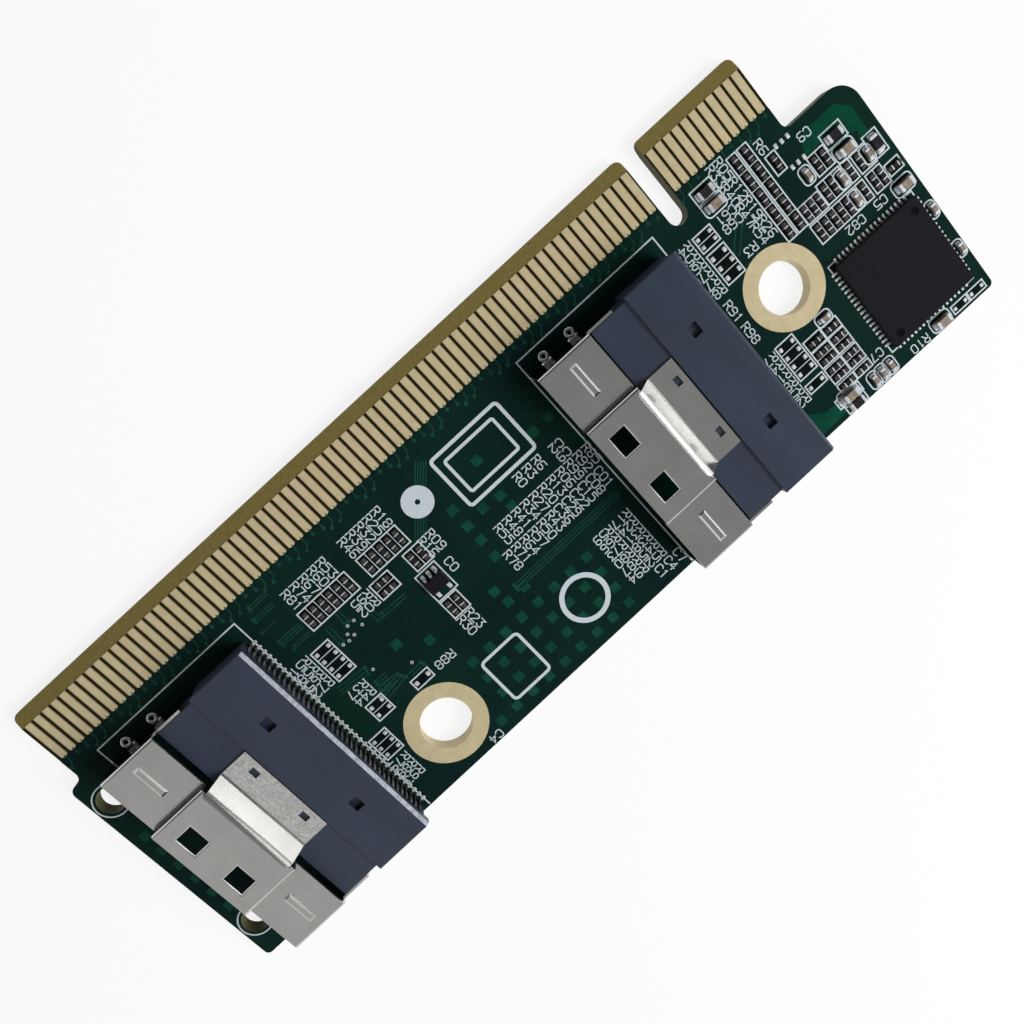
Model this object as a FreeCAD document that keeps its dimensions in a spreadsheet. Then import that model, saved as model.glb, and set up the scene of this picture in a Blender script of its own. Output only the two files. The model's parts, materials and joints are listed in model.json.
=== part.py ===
import FreeCAD, Part
import math
import os
import Sketcher
from FreeCAD import Placement, Rotation, Vector

# Adapter card with a 164-contact plug-in edge and two right-angle cable receptacles.
# Millimetres. X runs along the plug-in edge with 0 on the key notch, Y runs from the
# tip of that edge into the board, and Z = 0 is the underside that the card lies on.

SIZES = {
    # Circuit board
    "board_thick": 1.57,
    "board_depth": 32.1,
    "short_reach": 19.4,
    "long_reach": 73.75,
    "shoulder_depth": 8.0,
    "shoulder_round": 2.2,
    "step_round": 0.8,
    "far_round": 0.5,
    "tip_round": 0.6,
    "notch_width": 1.95,
    "notch_depth": 7.95,
    "bevel_length": 1.3,
    "bevel_drop": 0.42,
    "mask_step": 0.05,
    "mask_edge": 5.6,
    # Contact fingers of the plug-in edge
    "finger_pitch": 1.0,
    "finger_width": 0.72,
    "finger_length": 4.05,
    "notch_to_finger": 1.5,
    "finger_to_tab_end": 0.65,
    "long_step": 1.6,
    "short_step": 7.25,
    # Plated mount holes and plain end holes
    "mount_bore": 5.0,
    "mount_ring": 8.0,
    "mount_one_across": -3.5,
    "mount_one_back": 13.55,
    "mount_two_across": 46.4,
    "mount_two_back": 4.9,
    "end_bore": 2.6,
    "end_bore_inset": 1.8,
    "end_bore_near_back": 21.0,
    "end_bore_far_back": 3.5,
    # Receptacles: place on the board
    "port_rear": 3.6,
    "port_end_gap": 4.55,
    "port_far_gap": 0.35,
    # Receptacle housing
    "rear_block_long": 5.5,
    "rear_block_over": 0.05,
    "rear_block_high": 3.7,
    "rear_lip": 0.48,
    "front_block_long": 4.0,
    "arm_clearance": 0.05,
    "front_block_high": 3.3,
    "slot_wall": 0.2,
    "slot_floor": 1.05,
    "slot_high": 1.7,
    "slot_back": 1.2,
    "core_hole_long": 0.95,
    "core_hole_wide": 1.2,
    "core_hole_deep": 0.7,
    "core_hole_back": 2.55,
    "core_hole_spacing": 10.75,
    "rear_chamfer": 0.3,
    # Receptacle contacts
    "contact_pitch": 0.6,
    "slot_end_gap": 0.1,
    "contact_wide": 0.2,
    "contact_thick": 0.15,
    "contact_tip_gap": 0.6,
    "contact_bump": 0.25,
    "contact_play": 0.05,
    "tail_gap": 0.05,
    "tail_foot": 0.2,
    "lower_tail_back": 3.25,
    "tail_window": 0.8,
    # Receptacle shell
    "sheet": 0.25,
    "sheet_round": 0.3,
    "shell_gap": 0.3,
    "shell_long": 5.8,
    "shell_wide": 23.0,
    "shell_high": 4.2,
    "crown_wide": 11.0,
    "crown_high": 5.3,
    "tongue_wide": 9.9,
    "tongue_gap": 0.15,
    "slope_foot": 0.6,
    "window_long": 1.65,
    "window_wide": 2.15,
    "window_setback": 2.0,
    "window_spacing": 5.4,
    "tongue_hole_long": 0.6,
    "tongue_hole_wide": 0.9,
    "tongue_hole_back": 0.85,
    "tongue_hole_spacing": 6.0,
    "rib_long": 3.3,
    "rib_wide": 0.75,
    "rib_high": 0.12,
    "rib_setback": 3.0,
    "rib_inset": 2.75,
    "arm_long": 2.9,
    "arm_high": 2.4,
    "arm_lift": 0.8,
    "leg_wide": 0.8,
    "leg_short_of_back": 0.1,
    "leg_front": 2.1,
    "leg_spacing": 3.1,
    "leg_clearance": 0.15,
    # Square leadless chip
    "chip_in": 6.45,
    "chip_back": 7.0,
    "chip_side": 9.75,
    "chip_high": 0.65,
    "chip_taper": 12.0,
    "chip_lead_pitch": 0.5,
    "chip_lead_count": 18,
    "chip_lead_wide": 0.25,
    "chip_lead_long": 0.6,
    "chip_lead_thick": 0.2,
    "chip_lead_show": 0.125,
    "chip_pad_side": 7.0,
    # Small five-lead chip
    "small_chip_across": 37.8,
    "small_chip_back": 15.5,
    "small_chip_long": 2.0,
    "small_chip_wide": 1.25,
    "small_chip_high": 0.8,
    "small_chip_lift": 0.1,
    "small_lead_pitch": 0.65,
    "small_lead_wide": 0.25,
    "small_lead_thick": 0.15,
    "small_lead_reach": 0.45,
    "small_lead_rise": 0.5,
    # Chip capacitors and black chip parts
    "large_part_long": 1.6,
    "large_part_wide": 0.8,
    "large_part_high": 0.8,
    "large_part_end": 0.35,
    "small_part_long": 1.0,
    "small_part_wide": 0.5,
    "small_part_high": 0.5,
    "small_part_end": 0.25,
    "black_part_long": 1.6,
    "black_part_wide": 0.8,
    "black_part_high": 0.45,
    "black_part_end": 0.3,
}

# Centres of the chip parts, each measured in from the short end and back from the far
# edge of the board, with True where the part lies along Y.
LARGE_CAPACITORS = {
    "corner_bulk": (1.55, 13.1, False),
    "edge_bulk": (4.0, 19.2, False),
    "notch_bulk": (16.3, 23.55, False),
    "far_bulk": (6.2, 0.8, False),
    "port_bulk": (17.35, 1.65, False),
}
SMALL_CAPACITORS = {
    "row_one": (2.55, 17.45, True),
    "row_two": (5.75, 17.35, True),
    "row_three": (5.8, 15.05, True),
    "row_four": (8.1, 19.8, True),
    "side_one": (0.65, 4.9, True),
    "side_two": (0.65, 9.5, True),
    "far_one": (12.5, 1.0, True),
    "far_two": (13.55, 1.0, True),
    "far_three": (14.55, 1.0, True),
    "ring_side": (14.8, 8.9, False),
}
BLACK_PARTS = {
    "edge_bead": (4.05, 20.85, False),
    "corner_bead": (1.4, 17.7, True),
    "notch_fuse": (16.3, 24.9, False),
    "port_bead": (17.2, 0.55, False),
}

# The long end's step holds two rounds, and each takes at most this share of its width.
STEP_SHARE = 0.45
# A count that falls short of a whole number by less than this is that number.
COUNT_SLACK = 0.01


class Size:
    """A number together with the sheet formula that gives it."""

    def __init__(self, value, formula):
        self.value = value
        self.formula = formula

    def join(self, sign, other, value):
        formula = other.formula if isinstance(other, Size) else str(other)
        return Size(value, f"({self.formula} {sign} {formula})")

    def __add__(self, other):
        return self.join("+", other, self.value + number(other))

    def __sub__(self, other):
        return self.join("-", other, self.value - number(other))

    def __mul__(self, other):
        return self.join("*", other, self.value * number(other))

    def __truediv__(self, other):
        return self.join("/", other, self.value / number(other))

    def __neg__(self):
        return Size(-self.value, f"(-{self.formula})")


def number(item):
    return item.value if isinstance(item, Size) else item


def least(first, second):
    return Size(min(first.value, second.value), f"min({first.formula}; {second.formula})")


def whole(item):
    """The whole number of steps that a length holds."""
    return Size(math.floor(item.value + COUNT_SLACK), f"floor({item.formula} + {COUNT_SLACK})")


doc = FreeCAD.newDocument("adapter_card")
sheet = doc.addObject("Spreadsheet::Sheet", "sizes")
rows = dict(SIZES)
for places in (LARGE_CAPACITORS, SMALL_CAPACITORS, BLACK_PARTS):
    for name, (inward, back, turned) in places.items():
        rows[name + "_in"] = inward
        rows[name + "_back"] = back
size = {}
for row, (name, value) in enumerate(rows.items(), start=1):
    sheet.set(f"A{row}", name)
    sheet.set(f"B{row}", str(value))
    sheet.setAlias(f"B{row}", name)
    size[name] = Size(value, f"sizes.{name}")
doc.recompute()
ZERO = Size(0, "0")
ALONG = Vector(1, 0, 0)
ACROSS = Vector(0, 1, 0)
UP = Vector(0, 0, 1)
parts = []


# Helpers that bind sizes to the sheet

def bind(item, prop, value):
    if isinstance(value, Size):
        item.setExpression(prop, value.formula)


def place(item, x, y, z):
    item.Placement = Placement(Vector(number(x), number(y), number(z)), Rotation())
    for axis, value in zip("xyz", (x, y, z)):
        bind(item, f"Placement.Base.{axis}", value)


def origin_of(body, role):
    return next(item for item in body.Origin.OriginFeatures if item.Role == role)


def new_body(label):
    body = doc.addObject("PartDesign::Body", label)
    body.Label = label
    parts.append(body)
    return body


def new_sketch(body, plane, offset=ZERO):
    sketch = body.newObject("Sketcher::SketchObject", "profile")
    sketch.AttachmentSupport = [(origin_of(body, plane), "")]
    sketch.MapMode = "FlatFace"
    bind(sketch, "AttachmentOffset.Base.z", offset)
    return sketch


def hold(sketch, line, end, spot):
    """Ties one point of a sketch to its two distances from the origin."""
    for kind, value in zip(("DistanceX", "DistanceY"), spot):
        index = sketch.addConstraint(Sketcher.Constraint(kind, -1, 1, line, end, float(number(value))))
        if isinstance(value, Size):
            sketch.setExpression(f"Constraints[{index}]", value.formula)


def outline(sketch, spots):
    """Closed outline of straight lines through the given points."""
    corners = [Vector(number(x), number(y), 0) for x, y in spots]
    lines = []
    for start, end in zip(corners, corners[1:] + corners[:1]):
        lines.append(sketch.addGeometry(Part.LineSegment(start, end), False))
    for index, line in enumerate(lines):
        following = lines[(index + 1) % len(lines)]
        sketch.addConstraint(Sketcher.Constraint("Coincident", line, 2, following, 1))
        hold(sketch, line, 1, spots[index])


def rectangle(sketch, left, right, low, high):
    outline(sketch, [(left, low), (right, low), (right, high), (left, high)])


def circle(sketch, x, y, diameter):
    centre = Vector(number(x), number(y), 0)
    ring = sketch.addGeometry(Part.Circle(centre, Vector(0, 0, 1), number(diameter) / 2), False)
    hold(sketch, ring, 3, (x, y))
    index = sketch.addConstraint(Sketcher.Constraint("Diameter", ring, float(number(diameter))))
    sketch.setExpression(f"Constraints[{index}]", diameter.formula)


def settle(body, feature):
    """Recomputes, and stops where the new feature has failed."""
    doc.recompute()
    if not feature.isValid():
        raise ValueError(f"{body.Label}: {feature.Name} {feature.getStatusString()}")


def pad(body, sketch, length, reverse=False):
    feature = body.newObject("PartDesign::Pad", "pad")
    feature.Profile = sketch
    bind(feature, "Length", length)
    feature.Reversed = reverse
    settle(body, feature)
    return feature


def pocket(body, sketch, length, reverse=False):
    before = body.Shape.Volume
    feature = body.newObject("PartDesign::Pocket", "pocket")
    feature.Profile = sketch
    bind(feature, "Length", length)
    feature.Reversed = reverse
    settle(body, feature)
    if body.Shape.Volume >= before:
        raise ValueError(f"{body.Label}: a pocket cuts nothing")
    return feature


def row_of(body, feature, axis, span, count):
    pattern = body.newObject("PartDesign::LinearPattern", "row")
    pattern.Originals = [feature]
    pattern.Direction = (origin_of(body, axis), [""])
    bind(pattern, "Length", span)
    bind(pattern, "Occurrences", count)
    body.Tip = pattern
    settle(body, pattern)


def dress(body, kind, prop, edges, value):
    """Fillet or chamfer on the named edges of the body so far."""
    base = body.Tip
    feature = body.newObject(kind, "edge")
    feature.Base = (base, edges)
    bind(feature, prop, value)
    settle(body, feature)


def edges_where(body, axis, test):
    """Names of the straight edges along an axis whose two ends both pass the test."""
    named = []
    for index, edge in enumerate(body.Tip.Shape.Edges, start=1):
        ends = [vertex.Point for vertex in edge.Vertexes]
        if len(ends) == 2 and near(abs((ends[1] - ends[0]).dot(axis)), edge.Length):
            if all(test(end) for end in ends):
                named.append(f"Edge{index}")
    return named


def near(first, second):
    return abs(number(first) - number(second)) < 1e-4


def box(label, low, extent):
    item = doc.addObject("Part::Box", label)
    for prop, value in zip(("Length", "Width", "Height"), extent):
        bind(item, prop, value)
    place(item, *low)
    return item


def group(label, members):
    item = doc.addObject("Part::Compound", label)
    item.Label = label
    item.Links = members
    parts.append(item)
    return item


# Circuit board

def finger_count(reach, step):
    """How many fingers the tab holds between the notch and the step at one end."""
    room = reach - step - size["notch_to_finger"] - size["finger_to_tab_end"]
    return whole(room / size["finger_pitch"]) + 1


def tab_reach(count):
    """How far a row of fingers and its margin reach from the middle of the notch."""
    row_span = size["finger_pitch"] * (count - 1)
    return size["notch_to_finger"] + row_span + size["finger_to_tab_end"]


half_notch = size["notch_width"] / 2
long_count = finger_count(size["long_reach"], size["long_step"])
short_count = finger_count(size["short_reach"], size["short_step"])
long_tab = tab_reach(long_count)
short_tab = tab_reach(short_count)
board_top = size["board_thick"]
short_end = -size["short_reach"]
far_edge = size["board_depth"]
mounts = {
    "mount_ring_one": (size["mount_one_across"], far_edge - size["mount_one_back"]),
    "mount_ring_two": (size["mount_two_across"], far_edge - size["mount_two_back"]),
}

# Receptacle widths follow the shell, and its lengths follow the housing
front_block_wide = size["shell_wide"] - (size["sheet"] + size["arm_clearance"]) * 2
rear_block_wide = size["shell_wide"] + size["rear_block_over"] * 2
slot_wide = front_block_wide - size["slot_wall"] * 2
row_room = slot_wide - size["contact_wide"] - size["slot_end_gap"] * 2
contact_count = whole(row_room / size["contact_pitch"]) + 1
shell_back = size["rear_block_long"] + size["front_block_long"] + size["shell_gap"]
shell_front = shell_back + size["shell_long"]
leg_places = [shell_front - size["leg_front"], shell_front - size["leg_front"] - size["leg_spacing"]]
port_centre = far_edge - size["port_far_gap"] - size["shell_wide"] / 2
ports = {
    "port_one": size["port_rear"],
    "port_two": size["long_reach"] - size["port_end_gap"] - shell_front,
}


def upright_edges(body, spots):
    named = []
    for x, y in spots:
        named += edges_where(body, UP, lambda point: near(point.x, x) and near(point.y, y))
    return named


def board_outline(body):
    notch_end = size["notch_depth"] - half_notch
    sketch = new_sketch(body, "XY_Plane")
    outline(sketch, [
        (-short_tab, ZERO),
        (-half_notch, ZERO),
        (-half_notch, notch_end),
        (half_notch, notch_end),
        (half_notch, ZERO),
        (long_tab, ZERO),
        (long_tab, size["shoulder_depth"]),
        (size["long_reach"], size["shoulder_depth"]),
        (size["long_reach"], far_edge),
        (short_end, far_edge),
        (short_end, size["shoulder_depth"]),
        (-short_tab, size["shoulder_depth"]),
    ])
    pad(body, sketch, board_top)
    sketch = new_sketch(body, "XY_Plane", board_top)
    circle(sketch, ZERO, notch_end, size["notch_width"])
    pocket(body, sketch, board_top)


def board_corners(body):
    shoulder = size["shoulder_depth"]
    step_round = least(size["step_round"], (size["long_reach"] - long_tab) * STEP_SHARE)
    rounds = (
        (size["shoulder_round"], [(short_end, shoulder)]),
        (step_round, [(-short_tab, shoulder), (long_tab, shoulder), (size["long_reach"], shoulder)]),
        (size["far_round"], [(short_end, far_edge), (size["long_reach"], far_edge)]),
        (size["tip_round"], [(-short_tab, ZERO), (-half_notch, ZERO), (half_notch, ZERO), (long_tab, ZERO)]),
    )
    for radius, spots in rounds:
        dress(body, "PartDesign::Fillet", "Radius", upright_edges(body, spots), radius)


def board_tip(body):
    """Bevels the tip and steps the bare tab down from the solder mask, on both faces."""
    step = size["mask_step"]
    margin = size["board_thick"]
    sketch = new_sketch(body, "YZ_Plane", size["long_reach"])
    for face, inward in ((ZERO, 1), (board_top, -1)):
        outline(sketch, [
            (-margin, face - margin * inward),
            (size["mask_edge"], face - margin * inward),
            (size["mask_edge"], face + step * inward),
            (size["bevel_length"], face + step * inward),
            (ZERO, face + size["bevel_drop"] * inward),
            (-margin, face + size["bevel_drop"] * inward),
        ])
    pocket(body, sketch, size["long_reach"] + size["short_reach"])


def board_holes(body):
    step = size["mask_step"]
    sketch = new_sketch(body, "XY_Plane", board_top)
    for x, y in mounts.values():
        circle(sketch, x, y, size["mount_bore"] + step * 2)
    for back in (size["end_bore_near_back"], size["end_bore_far_back"]):
        circle(sketch, size["long_reach"] - size["end_bore_inset"], far_edge - back, size["end_bore"])
    slot_long = size["leg_wide"] + size["leg_clearance"] * 2
    slot_wide = size["sheet"] + size["leg_clearance"] * 2
    wall = (size["shell_wide"] - size["sheet"]) / 2
    for port in ports.values():
        for leg in leg_places:
            for side in (-1, 1):
                x = port + leg - slot_long / 2
                y = port_centre + wall * side - slot_wide / 2
                rectangle(sketch, x, x + slot_long, y, y + slot_wide)
    pocket(body, sketch, board_top)
    for face, reverse in ((board_top, False), (ZERO, True)):
        sketch = new_sketch(body, "XY_Plane", face)
        for x, y in mounts.values():
            circle(sketch, x, y, size["mount_ring"])
        pocket(body, sketch, step, reverse)


def make_board():
    body = new_body("circuit_board")
    board_outline(body)
    board_corners(body)
    board_tip(body)
    board_holes(body)


def make_fingers(label, face):
    """One face's contact fingers, in a long row and a short row beside the notch."""
    body = new_body(label)
    half = size["finger_width"] / 2
    first_short = -(short_tab - size["finger_to_tab_end"])
    groups = ((size["notch_to_finger"], long_count), (first_short, short_count))
    for centre, count in groups:
        sketch = new_sketch(body, "XY_Plane", face)
        inner = size["bevel_length"] + size["finger_length"]
        rectangle(sketch, centre - half, centre + half, size["bevel_length"], inner)
        finger = pad(body, sketch, size["mask_step"])
        row_of(body, finger, "X_Axis", size["finger_pitch"] * (count - 1), count)


def make_mount_ring(label, x, y):
    """Plating of one mount hole: a barrel with a ring on each face of the board."""
    body = new_body(label)
    plate = size["mask_step"]
    bore = size["mount_bore"] / 2
    rim = size["mount_ring"] / 2
    sketch = new_sketch(body, "XZ_Plane")
    outline(sketch, [
        (bore, ZERO),
        (rim, ZERO),
        (rim, plate),
        (bore + plate, plate),
        (bore + plate, board_top - plate),
        (rim, board_top - plate),
        (rim, board_top),
        (bore, board_top),
    ])
    turn = body.newObject("PartDesign::Revolution", "turn")
    turn.Profile = sketch
    turn.ReferenceAxis = (sketch, ["V_Axis"])
    turn.Angle = 360
    place(body, x, y, ZERO)
    doc.recompute()


# Receptacles

def across_sketch(body, half):
    """Sketch in the XZ plane that a pad carries from +half to -half along Y."""
    return new_sketch(body, "XZ_Plane", -half)


def make_housing(name, port):
    body = new_body(name + "_housing")
    rear = size["rear_block_long"]
    front = rear + size["front_block_long"]
    half_rear = rear_block_wide / 2
    half_front = front_block_wide / 2
    sketch = across_sketch(body, half_rear)
    rectangle(sketch, ZERO, rear, ZERO, size["rear_block_high"])
    pad(body, sketch, rear_block_wide)
    sketch = across_sketch(body, half_front)
    rectangle(sketch, rear, front, ZERO, size["front_block_high"])
    pad(body, sketch, front_block_wide)

    # Roof that reaches out over the upper tails
    top = size["rear_block_high"]
    ceiling = size["slot_floor"] + size["slot_high"]
    sketch = across_sketch(body, half_rear)
    rectangle(sketch, -size["rear_lip"], ZERO, ceiling, top)
    pad(body, sketch, rear_block_wide)
    top_rear = edges_where(body, ACROSS, lambda point: near(point.x, -size["rear_lip"]) and near(point.z, top))
    dress(body, "PartDesign::Chamfer", "Size", top_rear, size["rear_chamfer"])

    # Card slot, open at the front
    half_slot = slot_wide / 2
    sketch = new_sketch(body, "YZ_Plane", front)
    rectangle(sketch, -half_slot, half_slot, size["slot_floor"], ceiling)
    pocket(body, sketch, front - size["slot_back"])

    # Two core holes in the top
    sketch = new_sketch(body, "XY_Plane", size["rear_block_high"])
    for side in (-1, 1):
        x = size["core_hole_back"] - size["core_hole_long"] / 2
        y = size["core_hole_spacing"] / 2 * side - size["core_hole_wide"] / 2
        rectangle(sketch, x, x + size["core_hole_long"], y, y + size["core_hole_wide"])
    pocket(body, sketch, size["core_hole_deep"])

    # Window in the floor for the lower tails
    sketch = new_sketch(body, "XY_Plane", size["slot_floor"])
    tail = size["lower_tail_back"] + size["contact_thick"] / 2
    half_window = size["tail_window"] / 2
    rectangle(sketch, tail - half_window, tail + half_window, -half_slot, half_slot)
    pocket(body, sketch, size["slot_floor"])

    # Gap in the rear wall that the upper contacts pass through
    sketch = new_sketch(body, "YZ_Plane", size["slot_back"])
    low = ceiling - size["contact_thick"] - size["contact_play"] * 2
    rectangle(sketch, -half_slot, half_slot, low, ceiling)
    pocket(body, sketch, size["slot_back"])
    place(body, port, port_centre, board_top)


def make_contacts(label, port, spots):
    """Row of stamped contacts with the given side outline."""
    body = new_body(label)
    first = size["contact_pitch"] * (contact_count - 1) / 2
    half = size["contact_wide"] / 2
    sketch = new_sketch(body, "XZ_Plane", first - half)
    outline(sketch, spots)
    contact = pad(body, sketch, size["contact_wide"])
    row_of(body, contact, "Y_Axis", first * 2, contact_count)
    place(body, port, port_centre, board_top)


def upper_contact():
    """Foot and riser behind the housing, and a spring beam that tapers to its tip in the slot."""
    thick = size["contact_thick"]
    tip = size["rear_block_long"] + size["front_block_long"] - size["contact_tip_gap"]
    top = size["slot_floor"] + size["slot_high"] - size["contact_play"]
    riser = -size["tail_gap"]
    heel = riser - thick - size["tail_foot"]
    return [
        (heel, ZERO),
        (riser, ZERO),
        (riser, top - thick),
        (tip, top - thick - size["contact_bump"]),
        (riser - thick, top),
        (riser - thick, thick),
        (heel, thick),
    ]


def lower_contact():
    """Riser through the floor window, and a spring beam that tapers to its tip in the slot."""
    thick = size["contact_thick"]
    tip = size["rear_block_long"] + size["front_block_long"] - size["contact_tip_gap"]
    low = size["slot_floor"] + size["contact_play"]
    back = size["lower_tail_back"]
    return [
        (back, ZERO),
        (back + thick, ZERO),
        (back + thick, low),
        (tip, low + thick + size["contact_bump"]),
        (back, low + thick),
    ]


def shell_walls(body):
    """Folded sheet seen from the front: two walls, two side pads and the raised crown."""
    sheet_thick = size["sheet"]
    wall = size["shell_wide"] / 2
    crown = size["crown_wide"] / 2
    pad_top = size["shell_high"]
    crown_top = size["crown_high"]
    outer = [(wall, ZERO), (wall, pad_top), (crown, pad_top), (crown, crown_top)]
    inner = [
        (crown - sheet_thick, crown_top - sheet_thick),
        (crown - sheet_thick, pad_top - sheet_thick),
        (wall - sheet_thick, pad_top - sheet_thick),
        (wall - sheet_thick, ZERO),
    ]
    left_outer = [(-y, z) for y, z in reversed(outer)]
    left_inner = [(-y, z) for y, z in reversed(inner)]
    sketch = new_sketch(body, "YZ_Plane", shell_back)
    outline(sketch, outer + left_outer + left_inner + inner)
    pad(body, sketch, size["shell_long"])


def shell_tongue(body):
    """Slope from the crown down to a tongue that lies on the housing's front block."""
    sheet_thick = size["sheet"]
    low = size["front_block_high"]
    rear = size["rear_block_long"] + size["tongue_gap"]
    foot = shell_back - size["slope_foot"] - sheet_thick
    sketch = across_sketch(body, size["tongue_wide"] / 2)
    outline(sketch, [
        (rear, low),
        (foot + sheet_thick, low),
        (shell_back, size["crown_high"] - sheet_thick * 2),
        (shell_back, size["crown_high"]),
        (foot, low + sheet_thick),
        (rear, low + sheet_thick),
    ])
    pad(body, sketch, size["tongue_wide"])


def shell_openings(body):
    """Latch windows in the crown and holes in the tongue."""
    sketch = new_sketch(body, "XY_Plane", size["crown_high"])
    for side in (-1, 1):
        x = shell_front - size["window_setback"] - size["window_long"] / 2
        y = size["window_spacing"] / 2 * side - size["window_wide"] / 2
        rectangle(sketch, x, x + size["window_long"], y, y + size["window_wide"])
    pocket(body, sketch, size["sheet"])
    sketch = new_sketch(body, "XY_Plane", size["front_block_high"] + size["sheet"])
    tongue_rear = size["rear_block_long"] + size["tongue_gap"]
    for side in (-1, 1):
        x = tongue_rear + size["tongue_hole_back"] - size["tongue_hole_long"] / 2
        y = size["tongue_hole_spacing"] / 2 * side - size["tongue_hole_wide"] / 2
        rectangle(sketch, x, x + size["tongue_hole_long"], y, y + size["tongue_hole_wide"])
    pocket(body, sketch, size["sheet"])


def shell_ribs(body):
    """Stiffening rib pressed up in each side pad."""
    x = shell_front - size["rib_setback"] - size["rib_wide"] / 2
    under = size["shell_high"] - size["sheet"]
    for level, work, reverse in ((size["shell_high"], pad, False), (under, pocket, True)):
        sketch = new_sketch(body, "XY_Plane", level)
        for side in (-1, 1):
            y = (size["shell_wide"] / 2 - size["rib_inset"]) * side - size["rib_long"] / 2
            rectangle(sketch, x, x + size["rib_wide"], y, y + size["rib_long"])
        work(body, sketch, size["rib_high"], reverse)


def shell_arms_and_legs(body):
    """Arms along the sides of the housing and solder legs through the board."""
    wall = size["shell_wide"] / 2
    depth = size["board_thick"] - size["leg_short_of_back"]
    half_leg = size["leg_wide"] / 2
    for outer in (wall, -wall + size["sheet"]):
        sketch = across_sketch(body, outer)
        rectangle(sketch, shell_back - size["arm_long"], shell_back, size["arm_lift"],
                  size["arm_lift"] + size["arm_high"])
        for leg in leg_places:
            rectangle(sketch, leg - half_leg, leg + half_leg, -depth, ZERO)
        pad(body, sketch, size["sheet"])


def make_shell(name, port):
    body = new_body(name + "_shell")
    shell_walls(body)
    wall = size["shell_wide"] / 2
    crown = size["crown_wide"] / 2

    def on_fold(point):
        on_pad = near(abs(point.y), wall) and near(point.z, size["shell_high"])
        on_crown = near(abs(point.y), crown) and near(point.z, size["crown_high"])
        return on_pad or on_crown

    dress(body, "PartDesign::Fillet", "Radius", edges_where(body, ALONG, on_fold), size["sheet_round"])
    shell_tongue(body)
    shell_openings(body)
    shell_ribs(body)
    shell_arms_and_legs(body)
    place(body, port, port_centre, board_top)


# Chips and chip parts

def make_chip():
    x = short_end + size["chip_in"]
    y = far_edge - size["chip_back"]
    half = size["chip_side"] / 2
    body = new_body("clock_chip_body")
    sketch = new_sketch(body, "XY_Plane")
    rectangle(sketch, -half, half, -half, half)
    block = pad(body, sketch, size["chip_high"])
    bind(block, "TaperAngle", -size["chip_taper"])
    settle(body, block)
    place(body, x, y, board_top + size["chip_lead_thick"])

    leads = []
    outer = half + size["chip_lead_show"]
    first = size["chip_lead_pitch"] * (size["chip_lead_count"] - 1) / 2
    flat = (size["chip_lead_wide"], size["chip_lead_long"], size["chip_lead_thick"])
    upright = (size["chip_lead_long"], size["chip_lead_wide"], size["chip_lead_thick"])
    for index in range(int(size["chip_lead_count"].value)):
        along = size["chip_lead_pitch"] * index - first - size["chip_lead_wide"] / 2
        inner = outer - size["chip_lead_long"]
        leads.append(box("lead", (x + along, y - outer, board_top), flat))
        leads.append(box("lead", (x + along, y + inner, board_top), flat))
        leads.append(box("lead", (x - outer, y + along, board_top), upright))
        leads.append(box("lead", (x + inner, y + along, board_top), upright))
    group("clock_chip_leads", leads)

    side = size["chip_pad_side"]
    low = (x - side / 2, y - side / 2, board_top)
    slug = box("clock_chip_pad", low, (side, side, size["chip_lead_thick"]))
    slug.Label = "clock_chip_pad"
    parts.append(slug)


def make_small_chip():
    x = size["small_chip_across"]
    y = far_edge - size["small_chip_back"]
    half_long = size["small_chip_long"] / 2
    half_wide = size["small_chip_wide"] / 2
    low = board_top + size["small_chip_lift"]
    block = box("logic_chip_body", (x - half_long, y - half_wide, low),
                (size["small_chip_long"], size["small_chip_wide"], size["small_chip_high"]))
    block.Label = "logic_chip_body"
    parts.append(block)

    thick = size["small_lead_thick"]
    body = new_body("logic_chip_leads")
    pitch = size["small_lead_pitch"]
    rows_of_leads = ((1, (-1, 1)), (-1, (-1, 0, 1)))
    for side, columns in rows_of_leads:
        for column in columns:
            centre = pitch * column
            sketch = new_sketch(body, "YZ_Plane", centre - size["small_lead_wide"] / 2)
            face = half_wide * side
            toe = face + size["small_lead_reach"] * side
            outline(sketch, [
                (face, size["small_lead_rise"]),
                (face + thick * 2 * side, size["small_lead_rise"]),
                (face + thick * 2 * side, thick),
                (toe, thick),
                (toe, ZERO),
                (face + thick * side, ZERO),
                (face + thick * side, size["small_lead_rise"] - thick),
                (face, size["small_lead_rise"] - thick),
            ])
            pad(body, sketch, size["small_lead_wide"])
    place(body, x, y, board_top)


def make_chip_parts(label, places, kind):
    """Bodies and metal ends of one kind of two-ended chip part."""
    long = size[kind + "_long"]
    wide = size[kind + "_wide"]
    high = size[kind + "_high"]
    end = size[kind + "_end"]
    blocks = []
    ends = []
    for name, (inward, back, turned) in places.items():
        x = short_end + size[name + "_in"]
        y = far_edge - size[name + "_back"]
        spans = ((end, long - end, blocks), (ZERO, end, ends), (long - end, long, ends))
        for start, stop, members in spans:
            along = stop - start if members is ends else long - end * 2
            if turned:
                low = (x - wide / 2, y - long / 2 + start, board_top)
                members.append(box(name, low, (wide, along, high)))
            else:
                low = (x - long / 2 + start, y - wide / 2, board_top)
                members.append(box(name, low, (along, wide, high)))
    group(label + "_bodies", blocks)
    group(label + "_ends", ends)


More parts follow.
